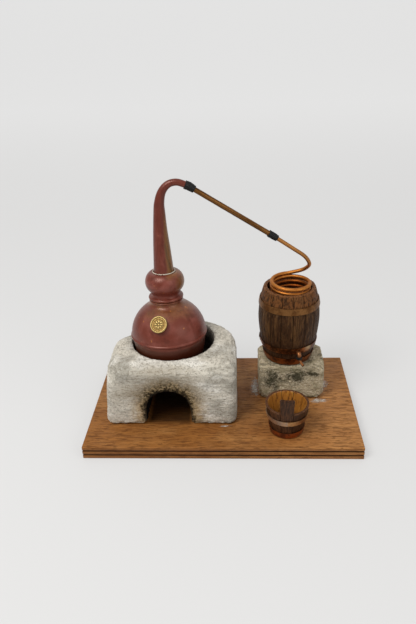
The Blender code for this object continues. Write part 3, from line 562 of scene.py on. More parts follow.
def furnace_finish(stones):
    """Pale stone with sawn streaks, weathered patches, scorching round the arch, sooty black and painted
    shade inside the arch, and painted shade in the pot's recess.
    """
    s = Shader("furnace stone")
    x, y, z = s.axes()
    streaks = s.clouds((60, 80, 430), 5, 0.66, 0.3)
    dashes = s.clouds((330, 330, 900), 4, 0.68, 0.3)
    blotches = s.clouds((34, 34, 60), 5, 0.62, 0.3)
    grit = s.clouds(620, 4, 0.72)
    base = s.mix(stones.pale, (0.800, 0.775, 0.715),
                 s.step(s.clouds((48, 48, 110), 4, 0.6, centre=(3, 2, 1)), 0.50, 0.66) * 0.85)
    base = s.coat(base, stones.grey, blotches, 0.45, 0.60, 0.80)
    base = s.coat(base, stones.grey, streaks, 0.50, 0.66, 0.38)
    base = s.coat(base, (0.130, 0.112, 0.080), dashes, 0.52, 0.62, 0.42)
    base = s.coat(base, (0.660, 0.640, 0.590), dashes, 0.46, 0.34, 0.35)
    base = s.coat(base, (0.120, 0.102, 0.070), grit, 0.53, 0.64, 0.50)

    across = x - ARCH_X
    rise = (z - ARCH_SPRING).most(0.0)
    away = (across * across + rise * rise) ** 0.5 - ARCH_RADIUS
    ragged = away + (s.clouds(210, 4, 0.7) - 0.5) * 0.016
    near_front = s.step(y, FURNACE_LOW.y + 0.014, FURNACE_LOW.y + 0.007)
    crown = s.step(z, ARCH_SPRING + 0.002, ARCH_SPRING + 0.018)
    scorch = s.step(ragged, 0.0200, 0.0010) * near_front
    cloud = s.step(away + across * 0.12 + (blotches - 0.5) * 0.044, 0.034, 0.004) * crown * near_front
    base = s.mix(base, (0.400, 0.250, 0.085), scorch * 0.80)
    base = s.mix(base, (0.170, 0.118, 0.054), cloud * 0.62)
    specks = s.step(s.clouds((420, 420, 620), 4, 0.74), 0.44, 0.53)
    near = s.step(ragged, 0.0190, 0.0030)
    base = s.mix(base, (0.016, 0.011, 0.006), near * (crown * 0.75 + 0.25) * near_front * specks * 0.94)
    within = s.step(y, FURNACE_HIGH.y - 0.0060, FURNACE_HIGH.y - 0.0085)
    # Black round the arch's inner edge and on its inner faces: sooty black and painted shade.
    soot_and_shade = s.step(ragged, 0.0066, 0.0010) * 0.93 * within
    inside = s.step(y, FURNACE_LOW.y + 0.0010, FURNACE_LOW.y + 0.0045) * s.step(away, 0.0040, 0.0020)
    inside = inside * within
    # Black low in the pot's recess: painted shade.
    hollow = s.node("ShaderNodeVectorMath", {"operation": "DISTANCE"},
                    {0: s.point(x, y), 1: RECESS}, output="Value")
    pit = s.step(hollow, 0.0394, 0.0378) * s.step(z, FURNACE_HIGH.z - 0.0015, FURNACE_HIGH.z - 0.0065)
    base = s.mix(base, (0.006, 0.004, 0.003), soot_and_shade.most(inside).most(pit * 0.95))
    height = streaks * 0.6 + grit * 0.4 + dashes * 0.8
    return s.done(base, 0.95, s.bump(height, 0.0016), specular_ior_level=0.08)


def mossy_finish(stones):
    """Gritty beige-grey stone with dark growth in patches along its upper front."""
    s = Shader("mossy stone")
    x, y, z = s.axes()
    grit = s.clouds(640, 4, 0.74)
    dashes = s.clouds((260, 260, 620), 4, 0.66)
    patches = s.clouds(80, 4, 0.6)
    base = s.mix(stones.mossy, (0.560, 0.490, 0.370), s.step(grit, 0.48, 0.60) * 0.85)
    base = s.coat(base, (0.200, 0.175, 0.095), patches, 0.50, 0.66, 0.60)
    base = s.coat(base, (0.070, 0.058, 0.034), dashes, 0.54, 0.66, 0.65)
    front = s.step(y, STONE_LOW.y + 0.016, STONE_LOW.y + 0.006)
    growth = s.clouds((110, 110, 120), 5, 0.68, 0.6, centre=(0.2, 0.1, 0.4))
    moss = s.step(growth, 0.60, 0.66) * 0.6
    for across, height, wide, tall in (
            (0.0135, 0.0230, 0.0105, 0.0105), (0.0355, 0.0262, 0.0110, 0.0090),
            (0.0520, 0.0290, 0.0090, 0.0038)):
        u, v = (x - (STONE_LOW.x + across)) / wide, (z - (TOP + height)) / tall
        near = s.step((u * u + v * v) ** 0.5 + (growth - 0.5) * 3.6 + (grit - 0.5) * 2.6, 1.30, 0.10)
        moss = moss.most(near)
    moss = moss * front
    edges = s.step(z, STONE_HIGH.z - 0.004, STONE_HIGH.z - 0.001) * s.step(growth, 0.52, 0.60)
    base = s.mix(base, stones.moss, moss.most(edges * 0.5) * 0.90)
    height = grit * 0.8 + dashes * 0.6
    return s.done(base, 0.95, s.bump(height, 0.0014), specular_ior_level=0.08)


def oxide_finish(copper):
    """Red-brown skin on copper, worn golden on the neck's right side and under the rib, and painted
    shade on the lower pot where it sits in the furnace's recess.
    """
    s = Shader("red-brown copper")
    x, _, z = s.axes()
    axis_x = STILL_FOOT.x - (z - STILL_FOOT.z) * math.tan(-LEAN[1])
    side = x - axis_x
    mottle = s.clouds(60, 4, 0.6, 0.3)
    fine = s.clouds((700, 700, 420), 4, 0.65)
    base = s.mix(copper.oxide, (0.178, 0.046, 0.033), s.step(mottle, 0.46, 0.70))
    base = s.coat(base, (0.066, 0.010, 0.005), s.clouds(95, 5, 0.62, centre=(1, 2, 3)), 0.52, 0.70, 0.8)
    lengthwise = s.clouds((520, 520, 30), 4, 0.62, centre=(2, 1, 0))
    upper = s.step(z, TOP + HEAD_TOP, TOP + HEAD_TOP + 0.004)
    base = s.mix(base, (0.075, 0.010, 0.005), (s.step(lengthwise, 0.46, 0.60) * 0.55 + 0.25) * upper)
    streak = s.clouds((420, 420, 26), 4, 0.6)
    foot = TOP + HEAD_TOP
    neck = s.step(z, foot - 0.004, foot + 0.003) * s.step(z, TOP + 0.196, TOP + 0.172)
    worn = s.step(side + (streak - 0.5) * 0.006, 0.0022, 0.0056) * neck
    bulb = s.step(z, TOP + 0.113, TOP + 0.118) * s.step(z, TOP + 0.134, TOP + 0.129)
    worn = worn.most(s.step(side + (mottle - 0.5) * 0.010, 0.0105, 0.0160) * bulb * 0.8)
    low = s.step(z, TOP + RIB - 0.001, TOP + RIB - 0.007)
    worn = worn.most(low * s.step(mottle - side * 6.0, 0.40, 0.75) * 0.75)
    shoulder = s.step(z, TOP + 0.092, TOP + 0.101) * s.step(z, TOP + 0.112, TOP + 0.104)
    worn = worn.most(shoulder * s.step(mottle, 0.40, 0.60) * 0.55)
    worn_shade = s.mix(copper.worn, (0.085, 0.045, 0.016), s.step(streak, 0.50, 0.66))
    base = s.mix(base, worn_shade, worn)
    spots = s.step(s.clouds(230, 1, 0.5, centre=(0.3, 0.1, 0.2)), 0.735, 0.775)
    base = s.mix(base, (0.360, 0.130, 0.030), spots * 0.75)
    # Lower pot painted nearly black from the rib down: painted shade where the pot sinks into the
    # furnace.
    under_rib_shade = s.step(z, TOP + RIB - 0.0006, TOP + RIB - 0.0040)
    base = s.mix(base, (0.042, 0.007, 0.002), under_rib_shade * 0.90)
    rough = 0.27 + fine * 0.16 - worn * 0.05
    height = fine * 0.35 + mottle * 0.4
    return s.done(base, rough, s.bump(height, 0.0003), specular_ior_level=0.60,
                  specular_tint=(1.0, 0.66, 0.58, 1.0))


def drawn_tube_finish(name, bright, dark, streaks, roughness, lead=None):
    """Drawn tube: streaks along it, tarnish round it, and the worm's brown lead and painted shade on its
    turns down in the barrel.
    """
    s = Shader(name)
    both = s.along()
    lines = s.clouds((22, 26, 1), 5, 0.65, source=both)
    bands = s.clouds((5, 12, 1), 3, 0.5, source=both)
    tarnish = s.clouds(150, 4, 0.6)
    share = s.step(lines, 0.48, 0.66) * streaks
    base = s.mix(bright, dark, share.most(s.step(tarnish, 0.52, 0.74) * 0.6))
    base = s.mix(base, dark, s.step(bands, 0.52, 0.68) * streaks)
    if lead:
        _, _, z = s.axes()
        base = s.coat(base, lead, z, COIL.z + 0.004, COIL.z + 0.024, 0.8)
        # Turns under the coil's top go deep red and dark: painted shade inside the barrel.
        base = s.coat(base, (0.150, 0.026, 0.004), z, COIL.z - 0.0030, COIL.z - 0.0075, 0.75)
    return s.done(base, roughness + lines * 0.18, s.bump(lines * 0.6 + tarnish * 0.4, 0.00012),
                  metallic=1.0)


def hoop_finish(name, bright, dark, centre, wear_and_sheen_colour):
    """Tarnished copper strip, brushed round its axis, paler where its mark worn is high: wear, and a
    painted reflection on the barrel's lower hoop.
    """
    s = Shader(name)
    x, y, z = s.axes(s.stretched((1, 1, 1), centre))
    turn = s.node("ShaderNodeMath", {"operation": "ARCTAN2"}, {0: y, 1: x})
    both = s.point(turn * 0.02, z)
    brushed = s.clouds((90, 1800, 1), 4, 0.6, source=both)
    tarnish = s.clouds(120, 5, 0.62)
    spots = s.step(s.clouds(620, 2, 0.6), 0.60, 0.72)
    base = s.mix(bright, dark, s.step(tarnish, 0.42, 0.62))
    base = s.coat(base, dark, brushed, 0.54, 0.70, 0.5)
    base = s.mix(base, (0.020, 0.010, 0.005), spots * 0.5)
    # Mark worn: real wear on rivets and bucket hoops, a painted reflection on the barrel's lower hoop.
    worn = s.mark("worn")
    base = s.mix(base, wear_and_sheen_colour, worn * s.step(tarnish, 0.30, 0.55))
    rough = 0.34 + brushed * 0.14 + worn * 0.12
    return s.done(base, rough, s.bump(tarnish * 0.5 + brushed * 0.3, 0.0002), metallic=0.9,
                  specular_ior_level=0.2)


def brass_finish(copper):
    """Brass with dark patina in its hollows."""
    s = Shader("dull brass")
    relief = s.mark("relief")
    stain = s.clouds(520, 4, 0.65)
    base = s.mix((0.190, 0.118, 0.038), copper.brass, s.step(relief + (stain - 0.5) * 0.8, 0.15, 0.75))
    return s.done(base, 0.34 + stain * 0.18, s.bump(stain, 0.00012), metallic=0.9)


def tape_finish():
    """Matt black tape with fine wrinkles and a slight bloom."""
    s = Shader("black tape")
    both = s.along()
    wrinkles = s.clouds((14, 1500, 1), 4, 0.65, 1.2, source=both)
    bloom = s.clouds(700, 3)
    base = s.mix((0.004, 0.004, 0.004), (0.024, 0.024, 0.023), s.step(wrinkles + bloom, 1.02, 1.30))
    return s.done(base, 0.45 + bloom * 0.2, s.bump(wrinkles, 0.0004), specular_ior_level=0.25)


def solder_finish():
    s = Shader("pale solder")
    crust = s.clouds(900, 4, 0.65)
    base = s.mix((0.520, 0.470, 0.390), (0.230, 0.130, 0.090), s.step(crust, 0.50, 0.68))
    return s.done(base, 0.62, s.bump(crust, 0.0003), metallic=0.15)


def stave_finish(wood):
    """Dark oak with upright grain, each stave its own shade, its upper end worn pale, and painted shade
    on the barrel's floor and low inside.
    """
    s = Shader("dark stave oak")
    x, y, z, own, shifted = s.upright(BARREL)
    grain = s.clouds((480, 480, 46), 5, 0.70, 0.8, source=shifted)
    pores = s.clouds((900, 900, 110), 3, 0.6, source=shifted)
    flecks = s.clouds((330, 330, 190), 4, 0.66, 0.8, source=shifted)
    base = s.mix(wood.stave, (0.084, 0.039, 0.014), s.step(grain + (own - 0.5) * 0.10, 0.47, 0.60))
    base = s.coat(base, (0.008, 0.004, 0.002), pores, 0.52, 0.64, 0.75)
    base = s.coat(base, (0.105, 0.058, 0.028), flecks, 0.58, 0.68, 0.55)
    high = s.step(z, BARREL_RIM - 0.018, BARREL_RIM - 0.009)
    base = s.mix(base, (0.160, 0.060, 0.018), high * s.step(flecks, 0.38, 0.56) * 0.80)
    base = s.mix(base, (0.014, 0.006, 0.003), high * s.step(pores, 0.50, 0.62) * 0.7)
    low = s.step(z, BARREL_BELLY - 0.012, BARREL_BELLY - 0.024)
    base = s.mix(base, (0.026, 0.009, 0.004), low * 0.6)
    end = s.step(z, BARREL_RIM - 0.0013, BARREL_RIM - 0.0005)
    base = s.mix(base, s.mix(wood.rim, (0.075, 0.028, 0.010), s.step(pores, 0.42, 0.60)), end * 0.85)
    # Near black on the barrel's floor and low inside: painted shade.
    outside = (x * x + y * y) ** 0.5
    barrel_floor_shade = s.step(outside, BASE_RADIUS - 0.0008, BASE_RADIUS - 0.0018) * (1.0 - end)
    base = s.mix(base, (0.010, 0.004, 0.002), barrel_floor_shade * 0.85)
    height = grain * 0.7 - pores * 0.6 + flecks * 0.4
    return s.done(base, 0.46 + grain * 0.2, s.bump(height, 0.0008), specular_ior_level=0.18,
                  specular_tint=(1.0, 0.74, 0.52, 1.0))


def bucket_wood_finish(wood):
    s = Shader("dark bucket wood")
    _, _, _, own, shifted = s.upright(BUCKET)
    grain = s.clouds((760, 760, 50), 5, 0.66, 0.3, source=shifted)
    base = s.mix(wood.bucket, (0.066, 0.026, 0.011), s.step(grain + (own - 0.5) * 0.2, 0.48, 0.68))
    base = s.coat(base, (0.010, 0.004, 0.002), grain, 0.46, 0.36, 0.7)
    top = s.mark("rim")
    worn_end = s.mix((0.115, 0.046, 0.019), (0.040, 0.016, 0.007), s.step(grain, 0.42, 0.62))
    base = s.mix(base, worn_end, top * 0.8)
    return s.done(base, 0.34 + grain * 0.2, s.bump(grain, 0.0005), specular_ior_level=0.26,
                  specular_tint=(1.0, 0.72, 0.52, 1.0))


def varnish_finish(wood):
    """Amber varnish over upright grain, with drips, darkened low inside the bucket as painted shade."""
    s = Shader("amber varnish")
    _, _, z, _, shifted = s.upright(BUCKET)
    grain = s.clouds((520, 520, 60), 4, 0.62, 0.5, source=shifted)
    pools = s.clouds((190, 190, 110), 3, 0.55, source=shifted)
    base = s.mix(wood.varnish, (0.085, 0.028, 0.005), s.step(grain, 0.50, 0.66) * 0.85)
    base = s.coat(base, (0.480, 0.240, 0.050), pools, 0.54, 0.68, 0.7)
    # Darker low inside the bucket: painted shade.
    deep = s.step(z, 0.0150, 0.0060)
    base = s.mix(base, (0.060, 0.020, 0.005), deep * 0.75)
    return s.done(base, 0.26 + grain * 0.14, s.bump(grain * 0.5 + pools * 0.8, 0.0004),
                  coat_weight=0.55, coat_roughness=0.12)


def glue_finish():
    """Dried glue: a pale haze that thins out towards its ragged edge."""
    s = Shader("dried glue")
    film = s.mark("film")
    crust = s.clouds((260, 620, 400), 5, 0.70)
    cover = s.step(film + (crust - 0.5) * 2.2, 0.15, 1.05)
    base = s.mix((0.460, 0.380, 0.310), (0.640, 0.600, 0.550), s.step(crust, 0.42, 0.62))
    s.feed(s.surface.inputs["Alpha"], cover * 0.62)
    return s.done(base, 0.45, s.bump(crust, 0.0003))


def backdrop_finish(name, shade):
    """Matt paper that carries a little light of its own, more of it up the backdrop."""
    s = Shader(name)
    _, y, z = s.axes()
    far = s.step(y, 0.1, 1.9) * 0.6 + s.step(z, 0.0, 1.2) * 0.4
    s.feed(s.surface.inputs["Emission Color"], s.mix((0.43, 0.43, 0.43), (0.64, 0.64, 0.64), far))
    soft = s.clouds(1.5, 2)
    return s.done(s.mix(shade, tuple(value * 0.985 for value in shade), soft), 0.9,
                  specular_ior_level=0.0, emission_strength=1.0)


# ---------------------------------------------------------------- board and stones

class OBJECT_OT_still_board(bpy.types.Operator):
    """Oak board with two grooves run round its edge"""
    bl_idname = "object.still_board"
    bl_label = "Board"

    def execute(self, context):
        wood = context.scene.still_board
        bm = bmesh.new()
        bmesh.ops.create_cube(bm, size=1.0)
        bmesh.ops.scale(bm, vec=BOARD_HIGH - BOARD_LOW, verts=bm.verts)
        bmesh.ops.translate(bm, vec=(BOARD_LOW + BOARD_HIGH) / 2, verts=bm.verts)
        thick, groove = BOARD_HIGH.z - BOARD_LOW.z, 0.0009
        band = (thick - 2 * groove) / 3
        levels = [BOARD_LOW.z + band, BOARD_LOW.z + band + groove,
                  BOARD_HIGH.z - band - groove, BOARD_HIGH.z - band]
        for level in levels:
            bmesh.ops.bisect_plane(bm, geom=bm.verts[:] + bm.edges[:] + bm.faces[:],
                                   plane_co=(0, 0, level), plane_no=(0, 0, 1))
        for low, high in (levels[:2], levels[2:]):
            ring = [face for face in bm.faces if low < face.calc_center_median().z < high]
            bmesh.ops.inset_region(bm, faces=ring, thickness=0.0, depth=-wood.groove,
                                   use_even_offset=True)
            for face in bm.faces:
                if low - 1e-5 < face.calc_center_median().z < high + 1e-5:
                    face.material_index = 1
        bmesh.ops.remove_doubles(bm, verts=bm.verts, dist=1e-6)
        outer = [edge for edge in sharp_edges(bm) if not all(f.material_index for f in edge.link_faces)]
        bevelled(bm, outer, wood.edge, 3)
        finishes = (oak_board_finish(wood), groove_finish(wood))
        part("oak_board", bm, finishes, "base", ["base_board"])
        return {"FINISHED"}


def cad_copy(node, cell):
    """A packed stone's mesh, merged and remeshed into even cells."""
    bm = bmesh.new()
    bm.from_mesh(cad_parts[node].data)
    bmesh.ops.remove_doubles(bm, verts=bm.verts, dist=1e-5)
    return modified(bm, "REMESH", mode="VOXEL", voxel_size=cell)


def weathered(bm, knocks, rough, streak, seed):
    """Knock corners off, round the edges, then sink the surface by hand-sized and fine unevenness.

    A knock is a point, a direction and a reach: stone past the point in that direction is gone.
    """
    for point, direction, reach in knocks:
        away = Vector(direction).normalized()
        for vert in bm.verts:
            past = (vert.co - point).dot(away)
            if past > 0:
                near = max(0.0, 1.0 - ((vert.co - point).length / reach) ** 4)
                vert.co -= away * past * near
    for _ in range(3):
        bmesh.ops.smooth_vert(bm, verts=bm.verts, factor=0.5, use_axis_x=True, use_axis_y=True,
                              use_axis_z=True)
    bm.normal_update()
    flat = Vector((1.0, 1.0, streak))
    foot = min(vert.co.z for vert in bm.verts)
    worn = {}
    for vert in bm.verts:
        around = [edge.other_vert(vert).co for edge in vert.link_edges]
        ridge = (vert.co - sum(around, Vector()) / len(around)).dot(vert.normal)
        worn[vert] = max(0.0, ridge) * 9.0 * max(0.0, 0.35 + wobble(vert.co, 0.0034, seed + 2))
        near_foot = max(0.0, 1.0 - (vert.co.z - foot) / 0.0045)
        chip = max(0.0, 0.15 + wobble(vert.co, 0.0036, seed + 4))
        worn[vert] += 0.0048 * near_foot * chip * (1 - abs(vert.normal.z))
    for vert in bm.verts:
        place = vert.co
        dip = 0.60 * (1 + wobble(place, 0.022, seed))
        dip += 0.40 * (1 + wobble(place * flat, 0.0065, seed + 3))
        dip += 0.35 * (1 + wobble(place * flat, 0.0030, seed + 5))
        pit = max(0.0, wobble(place * flat, 0.0024, seed + 9) - 0.10)
        vert.co = place - vert.normal * (rough * (dip + 1.8 * pit) + min(0.0022, worn[vert]))
    return bm


class OBJECT_OT_still_furnace(bpy.types.Operator):
    """Stone furnace with its arch, its recess and its knocked corners"""
    bl_idname = "object.still_furnace"
    bl_label = "Furnace"

    def execute(self, context):
        stones = context.scene.still_stone
        bm = cad_copy("furnace_block", stones.cell)
        left, front, foot = FURNACE_LOW
        right, back, crown = FURNACE_HIGH
        inner = ARCH_RADIUS + 0.0030
        whole = 1.0                          # a reach that takes in the whole block
        knocks = (
            (Vector((0, front + 0.0040, crown - 0.0040)), (0, -1, 1), whole),
            (Vector((left + 0.0085, 0, crown - 0.0035)), (-1, 0, 1), whole),
            (Vector((left + 0.0120, front + 0.0040, crown - 0.0100)), (-1, -0.9, 0.6), 0.030),
            (Vector((right - 0.0035, 0, crown - 0.0030)), (1, 0, 1), whole),
            (Vector((left + 0.0030, front + 0.0030, foot + 0.0020)), (-1, -0.6, -0.9), 0.016),
            (Vector((right - 0.0020, front + 0.0030, foot + 0.0026)), (1, -0.6, -0.9), 0.018),
            (Vector((ARCH_X - inner, front + 0.0008, foot + 0.0018)), (0.9, -0.5, -1.0), 0.008),
            (Vector((ARCH_X + inner - 0.0012, front + 0.0008, foot + 0.0014)),
             (-0.6, -0.5, -1.0), 0.008),
            (Vector((left + 0.030, back - 0.020, crown - 0.0040)), (-0.7, 0.7, 1.2), 0.040),
        )
        weathered(bm, knocks, stones.rough, 2.6, 2.0)
        part("rough_furnace", bm, (furnace_finish(stones),), "base", ["furnace_block"],
             60)
        return {"FINISHED"}


class OBJECT_OT_still_barrel_stone(bpy.types.Operator):
    """Mossy stone that carries the barrel"""
    bl_idname = "object.still_barrel_stone"
    bl_label = "Barrel Stone"

    def execute(self, context):
        stones = context.scene.still_stone
        bm = cad_copy("barrel_stone", stones.cell * 0.8)
        left, front, foot = STONE_LOW
        right, back, crown = STONE_HIGH
        knocks = (
            (Vector((left + 0.006, back - 0.006, crown - 0.003)), (-1, 1, 0.8), 0.040),
            (Vector((right - 0.005, back - 0.005, crown - 0.004)), (1, 1, 1.2), 0.040),
            (Vector((right - 0.003, front + 0.004, crown - 0.004)), (1, -0.8, 1), 0.030),
            (Vector((left + 0.003, front + 0.003, foot + 0.003)), (-1, -1, -0.7), 0.020),
            (Vector((right - 0.003, front + 0.003, foot + 0.003)), (1, -1, -0.7), 0.020),
        )
        weathered(bm, knocks, stones.rough * 1.6, 1.4, 7.0)
        part("mossy_stone", bm, (mossy_finish(stones),), "base", ["barrel_stone"], 60)
        return {"FINISHED"}


# ---------------------------------------------------------------- still

def still_axis():
    """Matrix whose Z is the still's leaning axis and whose zero is the board."""
    lean = Euler(LEAN).to_matrix().to_4x4()
    return Matrix.Translation(STILL_FOOT) @ lean @ Matrix.Translation((0, 0, -POT_BASE))


def dome(turn, inset=0.0):
    """Point of the pot's dome at an angle from its crown."""
    return ((DOME_RADIUS - inset) * math.sin(turn), RIB + (DOME_RISE - inset) * math.cos(turn))


def curve(first, pull, last, steps):
    """Quadratic curve from first to last, pulled towards a third point."""
    shares = [step / steps for step in range(1, steps)]
    return [tuple((1 - t) ** 2 * a + 2 * t * (1 - t) * b + t * t * c
                  for a, b, c in zip(first, pull, last)) for t in shares]


def pot_profile(sheet):
    """Closed half section of the pot: lip, shoulder, dome, rib and foot, then up the inside."""
    quarter = math.pi / 2
    outer = arc((NECK_RADIUS, LIP - 0.0007), 0.0007, 90, -60, 7)
    outer += [(NECK_RADIUS + 0.0001, LIP - 0.0015), (NECK_RADIUS, 0.1046)]
    outer += curve(outer[-1], (0.0152, 0.1017), dome(THROAT), 8)
    outer += [dome(THROAT + (quarter - 0.05 - THROAT) * step / 30) for step in range(31)]
    outer += arc((0.0348, RIB), 0.0011, 62, -66, 10)
    outer += smooth_path([(0.0345, RIB - 0.0020), (0.0338, 0.0650), (0.0324, 0.0560),
                          (0.0300, 0.0480), (0.0268, 0.0424), (0.0238, POT_BASE)], 5)
    inner = [(0.0234, POT_BASE + sheet), (0.0285, 0.0485), (0.0312, 0.0560), (0.0326, 0.0650)]
    inner += [dome(quarter - (quarter - THROAT) * step / 12, sheet) for step in range(12)]
    inner += [(NECK_RADIUS - sheet, 0.1020), (NECK_RADIUS - sheet, LIP)]
    return outer + [(0, POT_BASE), (0, POT_BASE + sheet)] + inner


def head_profile(sheet):
    """Closed half section of the head: shoulder, bulb, waist, collar and spigot, then the inside."""
    seat = LIP + FIT
    half = BULB - WAIST
    bulb = []
    for step in range(33):
        turn = math.radians(66 - 114 * step / 32)
        bulb.append((0.0095 + 0.0084 * math.cos(turn), BULB + half * math.sin(turn)))
    outer = [(0.0093, HEAD_TOP)] + bulb
    outer += curve(bulb[-1], (0.0131, WAIST + 0.0004), (0.0131, WAIST - 0.0014), 6)
    outer += [(0.0131, WAIST - 0.0014), (0.0137, COLLAR + 0.0018)]
    outer += arc((0.0144, COLLAR), 0.0016, 100, -80, 14)
    outer += [(0.0144, seat), (0.0133, seat), (0.0133, seat - 0.0045)]
    bore = 0.0133 - sheet
    inner = [(bore, seat - 0.0045), (bore, WAIST)]
    inner += [(radius - sheet, height) for radius, height in bulb[-4:2:-3]]
    inner += [(0.0084, BULB + half - 0.0022), (0.0084, HEAD_TOP)]
    return outer + inner


class OBJECT_OT_still_pot(bpy.types.Operator):
    """Copper pot with its rib and rolled lip"""
    bl_idname = "object.still_pot"
    bl_label = "Pot"

    def execute(self, context):
        copper = context.scene.still_copper
        bm = moved(turned(pot_profile(copper.sheet), copper.sides, True), still_axis())
        part("copper_pot", bm, (oxide_finish(copper),), "pot", ["pot_body"])
        return {"FINISHED"}


class OBJECT_OT_still_disc(bpy.types.Operator):
    """Brass disc with a plain rosette, on its stud"""
    bl_idname = "object.still_disc"
    bl_label = "Disc"

    def execute(self, context):
        copper = context.scene.still_copper
        around, height, rim = math.radians(-98.4), 0.0920, 0.0078
        radius = DOME_RADIUS * math.sqrt(1 - ((height - RIB) / DOME_RISE) ** 2)
        slope = Vector((radius / DOME_RADIUS ** 2, (height - RIB) / DOME_RISE ** 2)).normalized()
        normal = polar(around, slope.x) + Vector((0, 0, slope.y))
        touch = polar(around, radius) + Vector((0, 0, height))
        seat = still_axis() @ facing(touch, normal, "X")
        brass = brass_finish(copper)

        low, high = FIT, FIT + 0.0014
        stud = turned([(0, low), (0.0032, low), (0.0035, low + 0.0003), (0.0033, high - 0.0003),
                       (0.0031, high), (0, high)], 40)
        stored(stud, "relief", lambda vert: 0.3)
        part("disc_stem", moved(stud, seat), (brass,), "pot", ["disc_stud"])

        base = high + FIT
        face = base + 0.0012
        profile = [(0, base), (rim - 0.0005, base)]
        profile += arc((rim - 0.0005, base + 0.0005), 0.0005, -60, 0, 3)
        profile += [(rim, face)] + arc((rim - 0.0008, face + 0.0002), 0.0008, 10, 165, 9)
        profile += [(rim - 0.0018 - 0.00014 * step, face) for step in range(42)] + [(0, face)]
        bm = turned(profile, 144)
        for vert in bm.verts:
            away = math.hypot(vert.co.x, vert.co.y)
            if vert.co.z > face - 1e-6 and away < rim - 0.0016:
                vert.co.z += 0.00042 * rosette(vert.co.x, vert.co.y)
        stored(bm, "relief", lambda vert: max(0.0, min(1.0, (vert.co.z - face) / 0.0004)))
        part("rosette_disc", moved(bm, seat), (brass,), "pot", ["brass_disc"], 60)
        return {"FINISHED"}


def rosette(x, y):
    """Height from 0 to 1 of eight petals round a boss, inside a ring of beads."""
    away, turn = math.hypot(x, y), math.atan2(y, x)
    boss = max(0.0, 1 - (away / 0.0011) ** 2) ** 0.5
    petal = abs(math.cos(4 * turn)) ** 0.7
    along = max(0.0, 1 - ((away - 0.0026) / 0.0015) ** 2)
    bead = max(0.0, math.cos(24 * turn)) * max(0.0, 1 - ((away - 0.0049) / 0.0005) ** 2)
    return max(boss, petal * along ** 0.6, bead)


class OBJECT_OT_still_head(bpy.types.Operator):
    """Head with its collar and bulb, and the solder that holds the neck to it"""
    bl_idname = "object.still_head"
    bl_label = "Head"

    def execute(self, context):
        copper = context.scene.still_copper
        bm = moved(turned(head_profile(copper.sheet), copper.sides, True), still_axis())
        part("copper_head", bm, (oxide_finish(copper),), "head", ["head_bulb"])

        ring = turned(arc((0.0099, HEAD_TOP + 0.0007), 0.0005, 0, 330, 11), 160, True)
        for vert in ring.verts:
            lump = wobble(vert.co, 0.0022, 4.0)
            vert.co += outward(vert.co) * 0.00016 * (lump + 1) + Vector((0, 0, 0.00022 * max(0.0, lump)))
        part("solder_ring", moved(ring, still_axis()), (solder_finish(),), "head",
             ["neck_solder_ring"])
        return {"FINISHED"}


# ---------------------------------------------------------------- neck, arm and worm

def still_point(height):
    """Point on the still's leaning axis."""
    rise = height - POT_BASE
    back, left = -LEAN[0], -LEAN[1]
    return STILL_FOOT + Vector((-rise * math.sin(left), rise * math.sin(back),
                                rise * math.cos(back) * math.cos(left)))


def neck_path(pieces=3):
    """Tapered neck: along the still's axis, then a short bend to the right."""
    foot, middle = still_point(NECK_BASE), still_point(0.1540)
    top = middle.lerp(still_point(0.1720), 0.9)
    bend = Vector((top.x, top.y + 0.0012, TOP))
    stations = [(*foot, 0.0091), (*middle, 0.0077), (*top, 0.0064)]
    for right, back, height, radius in (
            (0.0001, 0.0000, 0.1856, 0.0053), (0.0006, 0.0003, 0.1956, 0.0045),
            (0.0034, 0.0006, 0.2052, 0.0037), (0.0092, 0.0010, 0.2116, 0.0032),
            (0.0172, 0.0014, 0.2131, 0.0030), (0.0267, 0.0019, 0.2094, 0.0029)):
        stations.append((*(bend + Vector((right, back, height))), radius))
    return smooth_path(stations, pieces)


def arm_ends():
    start = Vector(neck_path()[-1][:3])
    along = (ARM_END - start).normalized()
    return start + along * 0.0004, ARM_END


def outlet_point(reach, height):
    """Point over the outlet's line at a distance from the barrel's axis."""
    return BARREL + polar(OUTLET_ANGLE, reach) + Vector((0, 0, height))


def worm_path():
    """Worm: down from the arm, a turn back over the barrel, the coil, then its tail."""
    start, end = arm_ends()
    along = (end - start).normalized()
    lead = [end + along * 0.0004]
    lead += [Vector((x, y, TOP + height)) for x, y, height in (
        (0.0665, 0.0222, 0.1478), (0.0762, 0.0246, 0.1400), (0.0812, 0.0290, 0.1318),
        (0.0812, 0.0345, 0.1255), (0.0755, 0.0385, 0.1200))]
    first, per_turn = math.radians(95), 36
    coil, drop = [], 0.0
    for step in range(COIL_TURNS * per_turn + 1):
        share = min(1.0, step / per_turn)
        drop += COIL_PITCH / per_turn * (0.35 + 0.65 * share) if step else 0.0
        coil.append(COIL + polar(first + math.tau * step / per_turn, COIL_RADIUS) - Vector((0, 0, drop)))
    low = coil[-1].z
    sweep = OUTLET_ANGLE + math.tau - first
    tail = []
    for step in range(1, 19):
        share = step / 18
        fall = (low - TAIL_END - TOP - 0.004) * share ** 1.4
        point = COIL + polar(first + sweep * share, COIL_RADIUS)
        tail.append(Vector((point.x, point.y, low - fall)))
    foot = outlet_point(TAIL_REACH, TAIL_END)
    tail += [foot + Vector((0, 0, 0.0022)), foot]
    upper = smooth_path([tuple(point) for point in lead + coil[:1]], 10)[:-1]
    return [(*point, WORM_RADIUS) for point in upper + [tuple(point) for point in coil + tail]]


def arm_dents(distance, turn):
    """How far the arm's skin stands proud at a distance along it and a turn round it."""
    return 0.00006 * wobble(Vector((distance, turn * 0.008, 0)), 0.006, 5.0)


